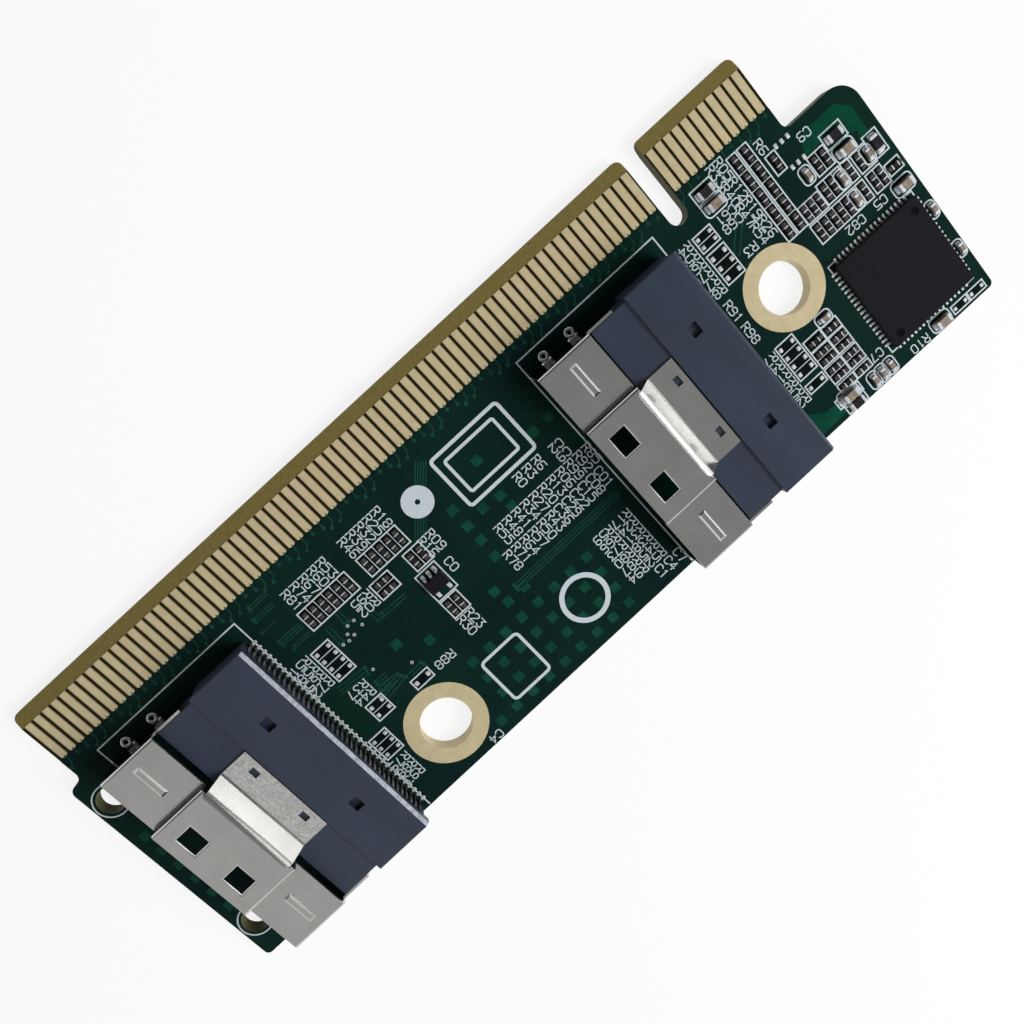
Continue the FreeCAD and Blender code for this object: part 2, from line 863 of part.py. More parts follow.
make_board()
make_fingers("gold_fingers_top", board_top - size["mask_step"])
make_fingers("gold_fingers_bottom", ZERO)
for ring, (ring_x, ring_y) in mounts.items():
    make_mount_ring(ring, ring_x, ring_y)
for port_name, port_place in ports.items():
    make_housing(port_name, port_place)
    make_contacts(port_name + "_upper_contacts", port_place, upper_contact())
    make_contacts(port_name + "_lower_contacts", port_place, lower_contact())
    make_shell(port_name, port_place)
make_chip()
make_small_chip()
make_chip_parts("large_capacitor", LARGE_CAPACITORS, "large_part")
make_chip_parts("small_capacitor", SMALL_CAPACITORS, "small_part")
make_chip_parts("black_chip", BLACK_PARTS, "black_part")

doc.recompute()
for item in doc.Objects:
    if "Invalid" in item.State or "Error" in item.State:
        raise ValueError(f"{item.Label} failed: {item.State}")
for part in parts:
    if part.Shape.isNull() or not part.Shape.isValid():
        raise ValueError(f"{part.Label} has no valid shape")
os.makedirs("parts", exist_ok=True)
for part in parts:
    part.Shape.exportStep(f"parts/{part.Label}.step")
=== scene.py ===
import json
import math
from collections import namedtuple
import bmesh
import bpy
from mathutils import Matrix, Vector


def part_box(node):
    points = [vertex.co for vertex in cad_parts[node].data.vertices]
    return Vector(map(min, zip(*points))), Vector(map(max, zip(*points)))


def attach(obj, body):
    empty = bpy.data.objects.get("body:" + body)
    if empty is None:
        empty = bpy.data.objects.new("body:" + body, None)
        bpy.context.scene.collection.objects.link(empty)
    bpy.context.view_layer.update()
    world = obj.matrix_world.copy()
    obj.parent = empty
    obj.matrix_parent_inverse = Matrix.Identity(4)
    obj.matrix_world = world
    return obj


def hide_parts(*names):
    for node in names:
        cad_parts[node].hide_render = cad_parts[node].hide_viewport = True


# Looks of the adapter card: finishes of the solids, solder, printed marks, traces and stage.
# Layout values are millimetres in the frame of the part; meshes are made in metres.

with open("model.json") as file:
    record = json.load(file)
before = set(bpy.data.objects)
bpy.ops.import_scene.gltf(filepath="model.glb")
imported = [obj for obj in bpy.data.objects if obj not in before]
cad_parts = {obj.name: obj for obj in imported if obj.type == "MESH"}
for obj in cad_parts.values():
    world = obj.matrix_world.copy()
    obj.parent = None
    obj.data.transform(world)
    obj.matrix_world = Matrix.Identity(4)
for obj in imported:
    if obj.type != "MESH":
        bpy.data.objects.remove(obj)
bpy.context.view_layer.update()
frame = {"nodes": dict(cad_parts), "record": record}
MM = 0.001
WELD_LIMIT = 1e-7
FLAT_ANGLE = math.radians(1)


def box_mm(node):
    """Low and high corner of a node, in millimetres."""
    low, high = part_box(node)
    return low / MM, high / MM


def corners(spots):
    """Low and high corner of the box round some points."""
    low = Vector([min(spot[axis] for spot in spots) for axis in range(3)])
    high = Vector([max(spot[axis] for spot in spots) for axis in range(3)])
    return low, high


def solids_of(node):
    """Low and high corners of each separate solid in a node, in millimetres."""
    mesh = bmesh.new()
    mesh.from_mesh(frame["nodes"][node].data)
    bmesh.ops.remove_doubles(mesh, verts=mesh.verts, dist=WELD_LIMIT)
    waiting = set(mesh.verts)
    boxes = []
    while waiting:
        front = [waiting.pop()]
        group = []
        while front:
            vertex = front.pop()
            group.append(vertex.co / MM)
            for edge in vertex.link_edges:
                other = edge.other_vert(vertex)
                if other in waiting:
                    waiting.discard(other)
                    front.append(other)
        boxes.append(corners(group))
    mesh.free()
    return sorted(boxes, key=lambda pair: tuple(pair[0] + pair[1]))


board_low, board_high = box_mm("circuit_board")
TOP = board_high.z
UNDER = board_low.z
FAR = board_high.y
SHORT_END = board_low.x
LONG_END = board_high.x
PORTS = ("port_one", "port_two")

# Places that the finishes follow
shell_low, shell_high = box_mm("port_two_shell")
CROWN_HALF = 5.5
CROWN_NEAR = (shell_low.y + shell_high.y) / 2 - CROWN_HALF
TONGUE_REAR = shell_low.x
HAMMERED_END = TONGUE_REAR + 1.9
BRUSHED_END = TONGUE_REAR + 2.6
DENTS = 24.0
LIP_REAR = box_mm("port_two_housing")[0].x
fingers = solids_of("gold_fingers_top")
first_low, first_high = fingers[0]
BEVEL_EDGE = first_low.y
FINGER_END = first_high.y
FINGER_PITCH = 1.0
FINGER_MIDDLE = (first_low.x + first_high.x) / 2
FINGER_HALF = (first_high.x - first_low.x) / 2
MASK_EDGE = FINGER_END + 0.02
DIMPLE_DEEP = 0.09
DIMPLE_FLOOR = box_mm("clock_chip_body")[1].z - DIMPLE_DEEP

# Materials: grain sizes and depths are millimetres, tones are six-digit screen colours
MIX_FIRST = 6
MIX_SECOND = 7
MIX_RESULT = 2
NOISE_LOW = 0.3
NOISE_HIGH = 0.7


def srgb(code):
    """Linear colour of a six-digit screen colour."""
    parts = [int(code[index:index + 2], 16) / 255 for index in (0, 2, 4)]
    linear = [part / 12.92 if part <= 0.04045 else ((part + 0.055) / 1.055) ** 2.4 for part in parts]
    return (*linear, 1.0)


class Nodes:
    """A node tree that is built up step by step."""

    def __init__(self, tree):
        self.tree = tree

    def node(self, kind, **settings):
        item = self.tree.nodes.new(kind)
        for name, value in settings.items():
            setattr(item, name, value)
        return item

    def feed(self, socket, value):
        """Links a socket to another one, or sets it to a value."""
        if isinstance(value, bpy.types.NodeSocket):
            self.tree.links.new(value, socket)
        else:
            socket.default_value = value

    def math(self, operation, first, second=0.0):
        item = self.node("ShaderNodeMath", operation=operation)
        self.feed(item.inputs[0], first)
        self.feed(item.inputs[1], second)
        return item.outputs[0]

    def times(self, first, second):
        return self.math("MULTIPLY", first, second)

    def ramp(self, value, low, high, start=0.0, end=1.0):
        """Value carried from low..high to start..end, and held at both ends."""
        item = self.node("ShaderNodeMapRange")
        for name, number in (("From Min", low), ("From Max", high), ("To Min", start), ("To Max", end)):
            item.inputs[name].default_value = number
        self.feed(item.inputs["Value"], value)
        return item.outputs["Result"]

    def part_of(self, vector, axis):
        """X, Y or Z of a vector."""
        split = self.node("ShaderNodeSeparateXYZ")
        self.feed(split.inputs[0], vector)
        return split.outputs[axis]


class Finish(Nodes):
    """A material with one main shader, whose colour, roughness and relief come from nodes."""

    def __init__(self, name, colour, metallic, roughness, gloss=0.5):
        self.material = bpy.data.materials.new(name)
        self.material.use_nodes = True
        super().__init__(self.material.node_tree)
        self.surface = self.tree.nodes["Principled BSDF"].inputs
        self.surface["Base Color"].default_value = srgb(colour)
        self.surface["Metallic"].default_value = metallic
        self.surface["Roughness"].default_value = roughness
        self.surface["Specular IOR Level"].default_value = gloss
        self.place = self.node("ShaderNodeTexCoord").outputs["Object"]

    def axis(self, name):
        """X, Y or Z in the frame, in millimetres."""
        return self.times(self.part_of(self.place, name), 1 / MM)

    def facing(self, name):
        """X, Y or Z of the direction that the surface faces."""
        return self.part_of(self.node("ShaderNodeNewGeometry").outputs["Normal"], name)

    def below(self, value, limit, soft):
        """1 below a limit and 0 above it, with a soft step."""
        return self.ramp(value, limit + soft, limit - soft)

    def above(self, value, limit, soft):
        """1 above a limit and 0 below it, with a soft step."""
        return self.ramp(value, limit - soft, limit + soft)

    def band(self, value, low, high, soft):
        """1 from low to high, fading to 0 over a soft margin outside."""
        return self.times(self.ramp(value, low - soft, low), self.ramp(value, high + soft, high))

    def noise(self, size_mm, detail=3.0, stretch=(1, 1, 1)):
        """Noise between 0 and 1 whose grains are about size_mm wide."""
        spread = self.node("ShaderNodeMapping")
        self.feed(spread.inputs["Vector"], self.place)
        spread.inputs["Scale"].default_value = stretch
        item = self.node("ShaderNodeTexNoise")
        self.feed(item.inputs["Vector"], spread.outputs["Vector"])
        item.inputs["Scale"].default_value = 1 / (size_mm * MM)
        item.inputs["Detail"].default_value = detail
        return item.outputs["Fac"]

    def clouds(self, size_mm, detail=3.0, stretch=(1, 1, 1), low=NOISE_LOW, high=NOISE_HIGH):
        """Noise drawn out so that it reaches both 0 and 1."""
        return self.ramp(self.noise(size_mm, detail, stretch), low, high)

    def mix(self, share, first, second):
        """Tone between two others, each a socket or a screen colour."""
        item = self.node("ShaderNodeMix", data_type="RGBA")
        self.feed(item.inputs["Factor"], share)
        for index, tone in ((MIX_FIRST, first), (MIX_SECOND, second)):
            self.feed(item.inputs[index], srgb(tone) if isinstance(tone, str) else tone)
        return item.outputs[MIX_RESULT]

    def colour(self, value):
        self.feed(self.surface["Base Color"], value)

    def mottle(self, dark, light, size_mm):
        """Uneven colour between two tones."""
        tone = self.mix(self.clouds(size_mm), dark, light)
        self.colour(tone)
        return tone

    def roughness(self, grain, low, high):
        """Roughness between two values, following a grain from 0 to 1."""
        self.feed(self.surface["Roughness"], self.ramp(grain, 0.0, 1.0, low, high))

    def bump(self, height, depth_mm, strength):
        item = self.node("ShaderNodeBump")
        item.inputs["Strength"].default_value = strength
        item.inputs["Distance"].default_value = depth_mm * MM
        self.feed(item.inputs["Height"], height)
        self.feed(self.surface["Normal"], item.outputs["Normal"])

    def grained(self, size_mm, depth_mm, strength, detail=3.0):
        """Gives the surface a fine relief and returns the material."""
        self.bump(self.noise(size_mm, detail), depth_mm, strength)
        return self.material


def board_finish():
    """Green solder mask over the board, bare laminate on the tab, the bevel and the cut edges."""
    look = Finish("board_mask", "04221e", metallic=0.0, roughness=0.38, gloss=0.04)
    deep = look.axis("Y")
    grain = look.clouds(0.25, detail=2.0, low=0.35, high=0.65)
    mask = look.mix(look.clouds(9.0, detail=4.0, low=0.35, high=0.65), "0b1e1e", "0d2721")
    mask = look.mix(look.times(grain, 0.2), mask, "143a32")
    weave = look.clouds(0.35, detail=2.0, stretch=(1.0, 4.0, 1.0))
    laminate = look.mix(weave, "1d180a", "2e2812")
    bevel = look.mix(weave, "746838", "897b4b")
    cut_edge = look.mix(weave, "4d5230", "6b6a3e")
    tab = look.mix(look.below(deep, BEVEL_EDGE, soft=0.02), laminate, bevel)
    faces = look.mix(look.below(deep, MASK_EDGE, soft=0.03), mask, tab)
    sideways = look.below(look.math("ABSOLUTE", look.facing("Z")), 0.5, soft=0.1)
    look.colour(look.mix(sideways, faces, cut_edge))
    look.roughness(grain, 0.34, 0.46)
    return look.grained(0.6, depth_mm=0.012, strength=0.5)


def mask_print_finish(name, dark, light):
    """The solder mask in another tone: copper seen through it, and near black as painted shade inside the
    footprints.
    """
    look = Finish(name, light, metallic=0.0, roughness=0.36, gloss=0.05)
    look.mottle(dark, light, 1.1)
    return look.grained(0.5, depth_mm=0.008, strength=0.5)


def gold_finish():
    """Gold plating with fine wear; painted shade darkens the sides of the fingers, standing in for their
    rolled edges, stronger towards the long end.
    """
    look = Finish("gold_plate", "cfc59b", metallic=0.3, roughness=0.42)
    across = look.axis("X")
    tone = look.mix(look.clouds(0.9, detail=4.0), "d0c096", "dbcca5")
    wear = look.clouds(0.3, stretch=(3.0, 0.4, 1.0), low=0.62, high=0.75)
    tone = look.mix(look.times(wear, 0.3), tone, "b3a16b")
    # Painted shade along the sides of each finger, stronger towards the long end
    phase = look.math("FRACT", look.math("SUBTRACT", across, FINGER_MIDDLE - FINGER_PITCH / 2))
    aside = look.math("ABSOLUTE", look.math("SUBTRACT", phase, FINGER_PITCH / 2))
    on_side = look.above(aside, FINGER_HALF - 0.07, soft=0.04)
    on_finger = look.below(look.axis("Y"), FINGER_END + 0.25, soft=0.05)
    edge_shade = look.times(on_finger, look.ramp(across, 0.0, LONG_END, 0.1, 0.55))
    look.colour(look.mix(look.times(on_side, edge_shade), tone, "4a4122"))
    look.roughness(look.clouds(0.25), 0.36, 0.5)
    return look.grained(0.18, depth_mm=0.006, strength=0.6)


def contact_finish():
    """Plated spring metal of the contacts."""
    look = Finish("contact_plate", "9a958a", metallic=1.0, roughness=0.25)
    look.mottle("87827a", "aaa59b", 0.5)
    return look.grained(0.12, depth_mm=0.004, strength=0.6)


def housing_finish():
    """Slate moulded plastic with a fine grain and faint flow marks; a painted highlight makes the rear
    chamfer of port two's lip pale, where it faces back and up.
    """
    look = Finish("housing_plastic", "242e3c", metallic=0.0, roughness=0.42, gloss=0.7)
    tone = look.mix(look.clouds(3.5, stretch=(1.0, 0.35, 1.0)), "232d3d", "2a3446")
    speck = look.clouds(0.08, detail=2.0, low=0.55, high=0.8)
    tone = look.mix(look.times(speck, 0.35), tone, "3c4756")
    # Painted highlight: faces that look back and up along the lip of port two, broken up by noise
    slanted = look.times(look.below(look.facing("X"), -0.35, soft=0.1),
                           look.above(look.facing("Z"), 0.35, soft=0.1))
    on_lip = look.band(look.axis("X"), LIP_REAR - 0.1, LIP_REAR + 0.8, soft=0.1)
    highlight_breakup = look.ramp(look.noise(0.4), 0.25, 0.6, 0.45, 1.0)
    rim = look.times(look.times(slanted, on_lip), highlight_breakup)
    look.colour(look.mix(rim, tone, "b4bac6"))
    look.roughness(look.clouds(0.2), 0.38, 0.5)
    return look.grained(0.1, detail=2.0, depth_mm=0.01, strength=0.7)


def shell_finish():
    """Satin sheet with rolling lines and scuffs, brushed on one tongue; painted shade darkens the walls
    that face the plug-in side, out to the crown.
    """
    look = Finish("shell_sheet", "cecdca", metallic=1.0, roughness=0.25)
    across = look.axis("X")
    tone = look.mix(look.clouds(2.5, detail=4.0), "c9c8c5", "d3d2cf")
    scuff = look.clouds(0.5, detail=5.0, stretch=(1.0, 2.5, 1.0), low=0.63, high=0.72)
    tone = look.mix(look.times(scuff, 0.4), tone, "e4e3df")
    on_tongue = look.above(across, TONGUE_REAR - 0.1, soft=0.1)
    brushed = look.times(on_tongue, look.below(across, BRUSHED_END, soft=0.05))
    brushed = look.times(brushed, look.above(look.facing("Z"), 0.935, soft=0.035))
    streaks = look.mix(look.clouds(0.2, low=0.32, high=0.68), "cfcecb", "fdfcf9")
    tone = look.mix(brushed, tone, streaks)
    # Painted shade: walls that face the plug-in side, out to the crown, are made near black
    shade_facing = look.below(look.facing("Y"), -0.825, soft=0.075)
    outside = look.below(look.axis("Y"), CROWN_NEAR + 0.15, soft=0.05)
    look.colour(look.mix(look.times(shade_facing, outside), tone, "2a2a2b"))
    rolled = look.noise(0.12, stretch=(6.0, 0.25, 1.0))
    look.roughness(look.ramp(rolled, NOISE_LOW, NOISE_HIGH), 0.2, 0.28)
    hammered = look.times(on_tongue, look.below(across, HAMMERED_END, soft=0.1))
    dents = look.times(look.times(look.noise(0.5), hammered), DENTS)
    look.bump(look.math("ADD", rolled, dents), depth_mm=0.002, strength=0.5)
    return look.material


def chip_finish(name, dark, light, depth_mm, dimple_floor=None):
    """Moulded chip body with a fine eroded grain; painted shade darkens the floor of a dimple."""
    look = Finish(name, dark, metallic=0.0, roughness=0.5, gloss=0.15)
    tone = look.mottle(dark, light, 0.3)
    if dimple_floor is not None:
        # Painted shade on the upward floor of a dimple
        dimple_shade = look.band(look.axis("Z"), dimple_floor - 0.02, dimple_floor + 0.02, soft=0.01)
        level = look.above(look.facing("Z"), 0.85, soft=0.05)
        look.colour(look.mix(look.times(dimple_shade, level), tone, "040405"))
    look.roughness(look.clouds(0.15), 0.42, 0.6)
    return look.grained(0.07, detail=2.0, depth_mm=depth_mm, strength=0.7)


def tin_finish(name, dark, light):
    """Solder and tinned metal with a slightly frosted skin."""
    look = Finish(name, light, metallic=0.4, roughness=0.3)
    look.mottle(dark, light, 0.3)
    look.roughness(look.clouds(0.12), 0.22, 0.42)
    return look.grained(0.15, depth_mm=0.01, strength=0.6)


def ceramic_finish():
    """Fired tan ceramic of the capacitors."""
    look = Finish("ceramic", "8a7d70", metallic=0.0, roughness=0.45)
    look.mottle("7b6f62", "998c7e", 0.25)
    return look.grained(0.06, depth_mm=0.006, strength=0.6)


def print_finish():
    """White board print, a little thin and uneven."""
    look = Finish("board_print", "c3ccd2", metallic=0.0, roughness=0.55)
    thin = look.clouds(0.16, low=0.55, high=0.75)
    look.colour(look.mix(look.times(thin, 0.45), "c8d1d6", "80959a"))
    return look.grained(0.1, depth_mm=0.004, strength=0.5)


looks = {
    "board": board_finish(),
    "gold": gold_finish(),
    "contact": contact_finish(),
    "housing": housing_finish(),
    "shell": shell_finish(),
    "chip": chip_finish("chip_mould", "131216", "1a191f", 0.008, DIMPLE_FLOOR),
    "tin": tin_finish("tin", "c3c7cb", "e4e6e8"),
    # A dark copy of the tin: painted shade on the solder at the resistor ends
    "shaded_tin": tin_finish("shaded_tin", "353331", "5b5753"),
    "ceramic": ceramic_finish(),
    "black_part": chip_finish("dark_ceramic", "1c1b1d", "2c2b2e", 0.004),
    "print": print_finish(),
    "square": mask_print_finish("copper_under_mask", "0b3a2e", "15483a"),
    "pour": mask_print_finish("pour_under_mask", "063a2b", "0a4635"),
    "trace": mask_print_finish("trace_under_mask", "103c31", "1f4b40"),
    # Near black: painted shade inside the footprints
    "ground": mask_print_finish("painted_footprint_shade", "060e0d", "0b1614"),
}

# Finishes of the solids, with a small round on the edges of what is moulded, folded or fired
EDGE_ROUNDS = {"housing": 0.06, "shell": 0.1, "chip": 0.05, "ceramic": 0.05, "black_part": 0.04}
END_ROUND = 0.05
ROUND_STEPS = 3
SHARP_ANGLE = math.radians(40)


def soften(item, width):
    """Small round on the sharp edges of a piece."""
    rim = item.modifiers.new("rim", "BEVEL")
    rim.width = width * MM
    rim.segments = ROUND_STEPS
    rim.limit_method = "ANGLE"
    rim.angle_limit = SHARP_ANGLE


def dress_solids():
    """Gives each solid of the frame its look, and its round where it has one."""
    for part in frame["record"]["subparts"]:
        item = frame["nodes"][part["node"]]
        slot = part["material_slot"]
        item.data.materials.clear()
        item.data.materials.append(looks[slot])
        width = EDGE_ROUNDS.get(slot, END_ROUND if part["node"].endswith("_ends") else 0)
        if width:
            weld = item.modifiers.new("weld", "WELD")
            weld.merge_threshold = WELD_LIMIT
            flat = item.modifiers.new("flat", "DECIMATE")
            flat.decimate_type = "DISSOLVE"
            flat.angle_limit = FLAT_ANGLE
            soften(item, width)


# Pieces are gathered as points and faces in millimetres
PRINT_THICK = 0.012
TRACE_THICK = 0.006
STROKE_LEVELS = 9
STROKE_LIFT = 0.0006
SHARPEST_MITRE = 0.45
CLOSING_GAP = 1e-6
PILLOW_LEVELS = ((1.0, 0.0), (0.96, 0.55), (0.8, 0.88), (0.5, 1.0))
PILLOW_CUT = 0.3


def add_object(name, data):
    item = bpy.data.objects.new(name, data)
    bpy.context.scene.collection.objects.link(item)
    return item


def add_piece(name, data, material):
    """Puts a mesh into the scene as a piece of the card."""
    data.materials.append(material)
    item = add_object(name, data)
    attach(item, "root")
    return item


class Piece:
    """Many small solids that become one mesh."""

    def __init__(self):
        self.spots = []
        self.faces = []
        self.strokes = 0

    def stack(self, loops):
        """Closed solid through loops of points, each anticlockwise, from the lowest up."""
        base = len(self.spots)
        count = len(loops[0])
        for loop in loops:
            self.spots += loop
        for here in range(base, base + (len(loops) - 1) * count, count):
            for index in range(count):
                following = (index + 1) % count
                self.faces.append([here + index, here + following,
                                   here + count + following, here + count + index])
        self.faces.append([base + index for index in reversed(range(count))])
        self.faces.append([len(self.spots) - count + index for index in range(count)])

    def prism(self, outline, thick):
        """Upright solid on the board over an anticlockwise outline."""
        self.stack([[(x, y, level) for x, y in outline] for level in (TOP, TOP + thick)])

    def dome(self, centre, extent, height, levels=PILLOW_LEVELS, cut=PILLOW_CUT):
        """Pillow on the board over a rectangle with cut corners; levels give its width and rise."""
        half_x, half_y = extent[0] / 2, extent[1] / 2
        trim = min(half_x, half_y) * cut
        flat_x, flat_y = half_x - trim, half_y - trim
        outline = [(half_x, -flat_y), (half_x, flat_y), (flat_x, half_y), (-flat_x, half_y),
                   (-half_x, flat_y), (-half_x, -flat_y), (-flat_x, -half_y), (flat_x, -half_y)]
        self.stack([[(centre[0] + x * share, centre[1] + y * share, TOP + height * rise)
                     for x, y in outline] for share, rise in levels])

    def ring(self, centre, inner, outer, thick, steps):
        """Flat ring on the board, as one closed band of quads."""
        base = len(self.spots)
        profile = ((inner, TOP), (outer, TOP), (outer, TOP + thick), (inner, TOP + thick))
        for index in range(steps):
            turn = 2 * math.pi * index / steps
            for radius, level in profile:
                x = centre[0] + radius * math.cos(turn)
                y = centre[1] + radius * math.sin(turn)
                self.spots.append((x, y, level))
        for index in range(steps):
            here = base + index * len(profile)
            there = base + (index + 1) % steps * len(profile)
            for corner in range(len(profile)):
                following = (corner + 1) % len(profile)
                self.faces.append([here + corner, there + corner, there + following, here + following])

    def path(self, spots, width, low, high, closed=False):
        """Stroke along a path, with mitred corners; each stroke ends a hair higher than the one before."""
        spots = [Vector(spot) for spot in spots]
        if (spots[0] - spots[-1]).length < CLOSING_GAP:
            spots.pop()
            closed = True
        self.strokes += 1
        high += self.strokes % STROKE_LEVELS * STROKE_LIFT
        count = len(spots)
        last = count - 1
        base = len(self.spots)
        for index, here in enumerate(spots):
            starts = index == 0 and not closed
            ends = index == last and not closed
            before = None if starts else (here - spots[index - 1]).normalized()
            after = None if ends else (spots[(index + 1) % count] - here).normalized()
            arriving = before or after
            run = (arriving + (after or before)).normalized()
            side = Vector((-run.y, run.x))
            square = Vector((-arriving.y, arriving.x))
            side *= width / 2 / max(side.dot(square), SHARPEST_MITRE)
            if starts:
                here = here - run * width / 2
            if ends:
                here = here + run * width / 2
            for spot in (here + side, here - side):
                self.spots += [(spot.x, spot.y, low), (spot.x, spot.y, high)]
        for index in range(count if closed else last):
            a = base + index * 4
            b = base + (index + 1) % count * 4
            self.faces += [[a + 1, a + 3, b + 3, b + 1], [a, b, b + 2, a + 2],
                           [a, a + 1, b + 1, b], [a + 2, b + 2, b + 3, a + 3]]
        if not closed:
            tail = base + last * 4
            self.faces += [[base, base + 2, base + 3, base + 1], [tail, tail + 1, tail + 3, tail + 2]]

    def build(self, name, material, smooth=False):
        mesh = bpy.data.meshes.new(name)
        mesh.from_pydata([Vector(spot) * MM for spot in self.spots], [], self.faces)
        mesh.polygons.foreach_set("use_smooth", [smooth] * len(mesh.polygons))
        mesh.update()
        add_piece(name, mesh, material)


OUTLINE_STROKE = 0.14
CELL_STROKE = 0.08
SOLDER_HIGH = 0.05
silk = Piece()
solder = Piece()


def print_path(spots, stroke=OUTLINE_STROKE, closed=False):
    silk.path(spots, stroke, TOP, TOP + PRINT_THICK, closed)


def rectangle(left, right, low, high):
    return [(left, low), (right, low), (right, high), (left, high)]


def arc(x, y, radius, start, sweep, steps):
    """Points along an arc round x, y, with its angles in degrees."""
    turns = [math.radians(start + sweep * index / steps) for index in range(steps + 1)]
    return [(x + radius * math.cos(turn), y + radius * math.sin(turn)) for turn in turns]


def rounded(left, right, low, high, radius, steps=5):
    """Outline with round corners, anticlockwise."""
    middles = ((right - radius, low + radius, -90), (right - radius, high - radius, 0),
               (left + radius, high - radius, 90), (left + radius, low + radius, 180))
    return [spot for x, y, turn in middles for spot in arc(x, y, radius, turn, 90, steps)]


# Printed marks: strokes of a plain plotter alphabet on a grid four wide and six high
GLYPHS = {
    "0": [[(0, 1), (0, 5), (1, 6), (3, 6), (4, 5), (4, 1), (3, 0), (1, 0), (0, 1)]],
    "1": [[(1, 5), (2, 6), (2, 0)]],
    "2": [[(0, 5), (1, 6), (3, 6), (4, 5), (4, 4), (0, 0), (4, 0)]],
    "3": [[(0, 6), (4, 6), (2, 4), (4, 2), (4, 1), (3, 0), (1, 0), (0, 1)]],
    "4": [[(3, 0), (3, 6), (0, 2), (4, 2)]],
    "5": [[(4, 6), (0, 6), (0, 4), (3, 4), (4, 3), (4, 1), (3, 0), (0, 0)]],
    "6": [[(4, 6), (1, 6), (0, 5), (0, 1), (1, 0), (3, 0), (4, 1), (4, 2), (3, 3), (0, 3)]],
    "7": [[(0, 6), (4, 6), (2, 0)]],
    "8": [[(1, 3), (0, 4), (0, 5), (1, 6), (3, 6), (4, 5), (4, 4), (3, 3), (1, 3), (0, 2), (0, 1), (1, 0),
           (3, 0), (4, 1), (4, 2), (3, 3)]],
    "9": [[(0, 0), (3, 0), (4, 1), (4, 5), (3, 6), (1, 6), (0, 5), (0, 4), (1, 3), (4, 3)]],
    "R": [[(0, 0), (0, 6), (3, 6), (4, 5), (4, 4), (3, 3), (0, 3)], [(2, 3), (4, 0)]],
    "C": [[(4, 5), (3, 6), (1, 6), (0, 5), (0, 1), (1, 0), (3, 0), (4, 1)]],
}
GLYPH_HIGH = 6
GLYPH_STEP = 5.6
MARK_HIGH = 0.8
MARK_STROKE = 0.11
FIRST_NUMBER = 17
NUMBER_STEP = 7


def print_mark(text, x, y, turned):
    """Prints a short mark with its lower left corner at x, y; turned marks read upwards."""
    unit = MARK_HIGH / GLYPH_HIGH
    for index, letter in enumerate(text):
        for strokes in GLYPHS[letter]:
            spots = []
            for across, up in strokes:
                run = (index * GLYPH_STEP + across) * unit
                rise = up * unit
                spots.append((x - rise, y + run) if turned else (x + run, y + rise))
            print_path(spots, MARK_STROKE)


# Blocks of marks: first x, first y, columns, rows, column step, row step, letter, digits, turned
MARK_BLOCKS = (
    (20.6, 23.75, 2, 6, 2.25, 1.02, "R", 2, False), (20.6, 19, 6, 1, 1, 1, "C", 2, True),
    (26.6, 19, 6, 1, 1.05, 1, "R", 2, True), (20, 16.6, 11, 1, 1.08, 1, "R", 2, True),
    (20.9, 14.5, 1, 2, 1, 1.05, "C", 1, False), (24.1, 14.3, 3, 1, 1.15, 1, "R", 1, True),
    (20.2, 30, 3, 1, 1.15, 1, "C", 1, True), (37.6, 7.9, 5, 1, 1, 1, "R", 2, True),
    (44.2, 7.9, 5, 1, 1.05, 1, "R", 2, True), (41.25, 22.15, 1, 1, 1, 1, "R", 2, False),
    (42.65, 12.75, 1, 2, 1, 0.98, "R", 2, False), (35.55, 12.7, 2, 1, 1, 1, "R", 2, True),
    (38, 20.55, 2, 1, 1, 1, "R", 2, True), (48.75, 18.6, 1, 2, 1, 0.98, "R", 2, False),
    (50.75, 13.45, 1, 4, 1, 0.95, "R", 2, False), (50.95, 26.4, 1, 3, 1, 0.98, "R", 2, False),
    (36.1, 15.7, 1, 1, 1, 1, "C", 1, True), (0.95, 22.3, 1, 6, 1, 1.02, "R", 1, False),
    (0.7, 9.4, 1, 6, 1, 0.98, "R", 2, False), (1.9, 15.9, 1, 2, 1, 2.6, "R", 2, True),
    (-5.3, 5.8, 2, 4, 0.95, 2.15, "R", 2, True), (-4.4, 9.6, 1, 2, 1, 0.98, "C", 2, False),
    (-15.9, 18.35, 1, 1, 1, 1, "C", 1, False), (-13.2, 18.35, 1, 1, 1, 1, "C", 2, False),
    (-13.9, 9, 1, 1, 1, 1, "C", 1, False), (-9.1, 7, 1, 1, 1, 1, "R", 1, True),
    (-3.9, 13.4, 1, 1, 1, 1, "R", 1, False), (-11.4, 31.15, 1, 1, 1, 1, "R", 2, False),
    (-7.1, 29, 1, 1, 1, 1, "C", 1, False), (43.4, 31.15, 1, 1, 1, 1, "C", 1, False),
)
# Plain panels: left, right, low, high, corner radius, stroke
PANELS = (
    (22.95, 30.8, 8.25, 13.7, 0.35, 0.34), (24.15, 29.85, 9.1, 12.75, 0.2, 0.3),
    (35.9, 40.3, 25.3, 30.2, 0.4, 0.3),
)
# Printed rings: centre, inner radius, outer radius, steps
PRINT_RINGS = (((34.0, 10.1), 0.25, 1.5, 36), ((29.05, 27.4), 1.95, 2.45, 48))
# Ring round an end hole: inner radius, outer radius, height, steps
END_HOLE_RING = (1.55, 1.68, PRINT_THICK, 40)


